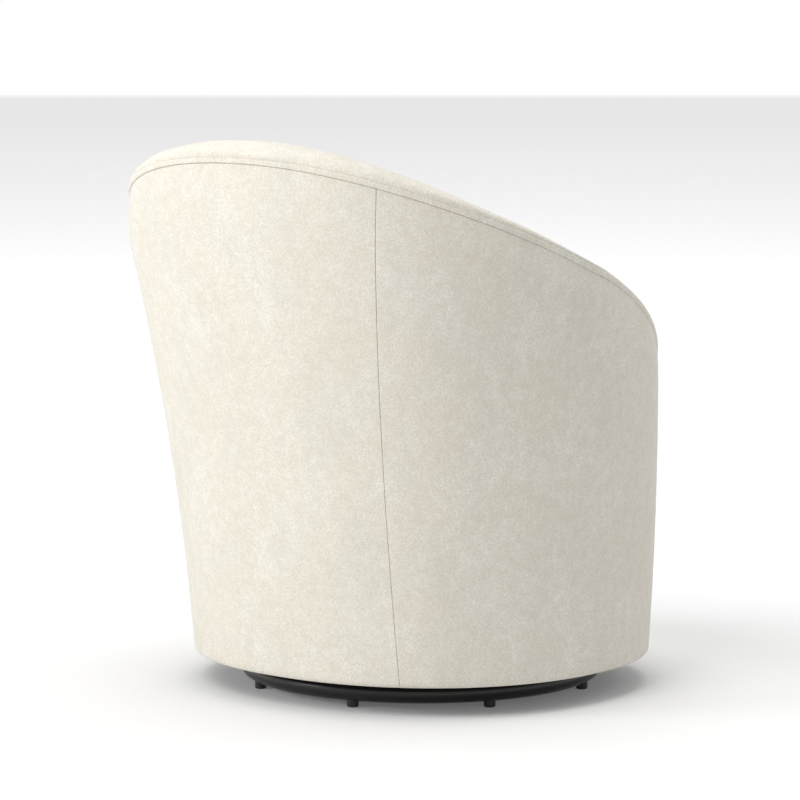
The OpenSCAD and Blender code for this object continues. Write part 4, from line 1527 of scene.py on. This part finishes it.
    def build(self, wardrobe: Wardrobe) -> list[bpy.types.Object]:
        """Builds and fills the cushion and sews its welts.

        Args:
            wardrobe: The materials.

        Returns:
            The cushion and its two welts.
        """
        shares = evened(self.outline(self.top_seam, 0.0), self.step)
        points, faces, pinned, caps = self.shell(shares)
        piece = make_piece("seat_cushion", points, faces)
        Filling().inflate(piece, pinned, caps)
        wardrobe.dress(piece, "velvet")
        settle(piece, "velvet", "cushion_cover", "cushion_foam")
        return [piece, *self.welts(shares, wardrobe)]


@dataclass
class DustCloth:
    """The black cloth under the seat, stapled to the bottom board."""

    form: TubForm = field(default_factory=TubForm)
    board_z: float = 0.050
    thickness: float = 0.0012
    edge_in: float = 0.0095
    hole: float = 0.096
    rows: int = 14
    columns: int = 180
    sag: float = 0.0012
    sag_wave: float = 0.09
    sag_seed: int = 3
    board_gap: float = 0.0001
    staple_in: float = 0.020
    staple_pitch: float = 0.032
    staple_below: float = 0.0018

    def build(self, wardrobe: Wardrobe) -> list[bpy.types.Object]:
        """Builds the cloth and its staples.

        Args:
            wardrobe: The materials.

        Returns:
            The cloth and the staples.
        """
        form = self.form
        turns = np.arange(self.columns) * 360.0 / self.columns
        rim = form.wall(turns, self.board_z, self.edge_in)
        middle = np.array([0.0, form.axis_y])
        angle = np.arctan2(rim[:, 1] - middle[1], rim[:, 0] - middle[0])
        hole = middle + self.hole * np.column_stack([np.cos(angle), np.sin(angle)])
        share = np.linspace(0, 1, self.rows)[:, None, None]
        plan = hole[None] * (1 - share) + rim[None, :, :2] * share
        wave = ripple(plan[..., 0], plan[..., 1], self.sag_seed, self.sag_wave)
        wave = self.sag * wave * np.sin(math.pi * share[..., 0])
        z = self.board_z - self.board_gap - self.thickness - np.abs(wave)
        grid = np.concatenate([plan, z[..., None]], axis=-1)
        upward = np.broadcast_to(UP, grid.shape)
        cloth = cloth_piece("dust_cloth", grid, self.thickness, upward, True)
        wardrobe.dress(cloth, "black_cloth")
        settle(cloth, "black_cloth", "dust_cover")
        line = form.wall(turns, self.board_z - self.staple_below, self.staple_in)
        down = np.broadcast_to(-UP, line.shape).copy()
        staples = staple_tree().run("dust_cloth_staples", line, down, np.ones(len(line)), True,
                                    wardrobe.materials["zinc_steel"], pitch=self.staple_pitch)
        settle(staples, "zinc_steel")
        return [cloth, staples]


# ---- The floor, the light and the camera ----


@dataclass(frozen=True)
class Studio:
    """A pale floor with painted light in a glow, soft lamps and the camera, in metres, degrees and
    watts.
    """

    azimuth: float = 220.0
    distance: float = 4.5291
    height: float = 0.8457
    aside: float = -0.0301
    aim_z: float = 0.3939
    focal_pixels: float = 3233.9
    picture: int = 800
    sensor: float = 36.0
    sky: float = 0.40
    lamp_away: float = 4.0
    lamp_aim_z: float = 0.4
    lamps: tuple[tuple[str, float, float, float, float], ...] = (
        ("overhead", 0.0, 85.0, 2.6, 69.0), ("left_low", 145.0, 15.0, 1.3, 55.5),
        ("behind_high", 190.0, 45.0, 2.0, 51.0), ("front_low", 330.0, 25.0, 2.6, 18.0))
    floor_reach: float = 152.0
    floor_sides: int = 180
    floor_tone: float = 0.86
    # Painted light: the floor's camera-seen glow by distance from the chair, which lifts the chair's
    # shadow near it and stands in for the lamps' fall-off farther away.
    painted_glow_half: float = 4.0
    painted_glow: tuple[tuple[float, float], ...] = (
        (0.0, 0.105), (0.62, 0.107), (1.0, 0.18), (2.0, 0.32), (4.0, 0.52), (6.0, 0.66),
        (10.0, 0.65), (15.0, 0.58), (25.0, 0.515), (50.0, 0.46), (100.0, 0.455), (130.0, 0.455),
        (152.0, 0.60))

    def camera(self) -> None:
        """Places the camera and makes it the scene's."""
        a = math.radians(self.azimuth)
        across = Vector((math.cos(a), math.sin(a), 0.0))
        shift = Vector((0.0, TUB.axis_y, 0.0))
        place = Vector((math.sin(a) * self.distance, -math.cos(a) * self.distance, self.height)) + shift
        target = across * self.aside + Vector((0.0, 0.0, self.aim_z)) + shift
        data = bpy.data.cameras.new("camera")
        data.sensor_width = self.sensor
        data.lens = self.focal_pixels * self.sensor / self.picture
        made = bpy.data.objects.new("camera", data)
        made.location = place
        made.rotation_euler = (target - place).to_track_quat("-Z", "Y").to_euler()
        bpy.context.scene.collection.objects.link(made)
        bpy.context.scene.camera = made

    def lamp(self, name: str, azimuth: float, elevation: float, side: float, power: float) -> None:
        """Adds a square area lamp that faces the chair.

        Args:
            name: Its name.
            azimuth: Where it stands, as for the camera.
            elevation: Its height over the horizon, in degrees.
            side: Its side.
            power: Its power in watts.
        """
        a, e = math.radians(azimuth), math.radians(elevation)
        back = Vector((math.sin(a) * math.cos(e), -math.cos(a) * math.cos(e), math.sin(e)))
        data = bpy.data.lights.new(name, "AREA")
        data.shape, data.size, data.energy = "SQUARE", side, power
        made = bpy.data.objects.new(name, data)
        made.location = Vector((0.0, 0.0, self.lamp_aim_z)) + back * self.lamp_away
        made.rotation_euler = (-back).to_track_quat("-Z", "Y").to_euler()
        bpy.context.scene.collection.objects.link(made)

    def unlit(self, nodes: NodeTree) -> bpy.types.NodeSocket:
        """1 for rays that only show a background, 0 for those that light the chair."""
        path = nodes.add("ShaderNodeLightPath")
        both = nodes.math("MAXIMUM", path.outputs["Is Camera Ray"], path.outputs["Is Glossy Ray"])
        return nodes.math("MAXIMUM", both, path.outputs["Is Transmission Ray"])

    def floor(self) -> None:
        """Lays a pale floor that keeps the chair's shadow, with painted light on top: a glow seen only
        by camera, glossy and transmission rays, which lifts the shadow a little near the chair, turns
        the floor white farther off and fades it to grey towards the horizon.
        """
        mesh = bpy.data.meshes.new("floor")
        turns = [2 * math.pi * k / self.floor_sides for k in range(self.floor_sides)]
        rim = [(self.floor_reach * math.cos(a), self.floor_reach * math.sin(a), 0.0) for a in turns]
        mesh.from_pydata(rim, [], [list(range(self.floor_sides))])
        made = bpy.data.objects.new("floor", mesh)
        bpy.context.scene.collection.objects.link(made)
        paint = bpy.data.materials.new("PaleFloor")
        paint.use_nodes = True
        nodes = NodeTree(paint.node_tree)
        diffuse = nodes.add("ShaderNodeBsdfDiffuse", {"Color": (self.floor_tone,) * 3 + (1.0,)})
        where = nodes.add("ShaderNodeTexCoord").outputs["Object"]
        far = nodes.add("ShaderNodeVectorMath", {0: where}, operation="LENGTH").outputs["Value"]
        share = nodes.math("DIVIDE", far, nodes.math("ADD", far, self.painted_glow_half))
        # Painted light: glow by distance from the chair, seen only by camera, glossy and transmission
        # rays.
        painted_glow = nodes.add("ShaderNodeValToRGB", {"Fac": share})
        stops = painted_glow.color_ramp.elements
        for i, (distance, strength) in enumerate(self.painted_glow):
            place = distance / (distance + self.painted_glow_half)
            stop = stops[i] if i < 2 else stops.new(place)
            stop.position = place
            stop.color = (strength, strength, strength, 1)
        shine = nodes.add("ShaderNodeEmission", {"Color": painted_glow.outputs["Color"],
                                                 "Strength": self.unlit(nodes)})
        both = nodes.add("ShaderNodeAddShader", {0: diffuse.outputs[0], 1: shine.outputs[0]})
        nodes.add("ShaderNodeOutputMaterial", {0: both.outputs[0]})
        mesh.materials.append(paint)

    def world(self) -> None:
        """Fills the scene with plain pale light, before a white background."""
        made = bpy.data.worlds.new("studio")
        bpy.context.scene.world = made
        made.use_nodes = True
        nodes = NodeTree(made.node_tree)
        lights = [nodes.add("ShaderNodeBackground", {"Color": (1, 1, 1, 1), "Strength": strength})
                  for strength in (self.sky, 1.0)]
        both = nodes.add("ShaderNodeMixShader", {0: self.unlit(nodes), 1: lights[0].outputs[0],
                                                 2: lights[1].outputs[0]})
        nodes.add("ShaderNodeOutputWorld", {0: both.outputs[0]})

    def build(self) -> None:
        """Sets up the whole studio."""
        bpy.context.scene.view_settings.view_transform = "Standard"
        self.camera()
        self.floor()
        self.world()
        for row in self.lamps:
            self.lamp(*row)


def main() -> None:
    """Builds the chair and its studio."""
    logging.basicConfig(level=logging.INFO, format="%(name)s: %(message)s")
    wardrobe = Wardrobe()
    slots = {row["node"]: row["material_slot"] for row in frame["record"]["subparts"]}
    wardrobe.dress_nodes(frame["nodes"], slots)
    pieces = [piece for part in (OuterCover(), Welt(), TubLining(), SeatCushion(), DustCloth())
              for piece in part.build(wardrobe)]
    for piece in pieces:
        LOG.info("%s: %d faces", piece.name, len(piece.data.polygons))
    Studio().build()


if __name__ == "__main__":
    main()
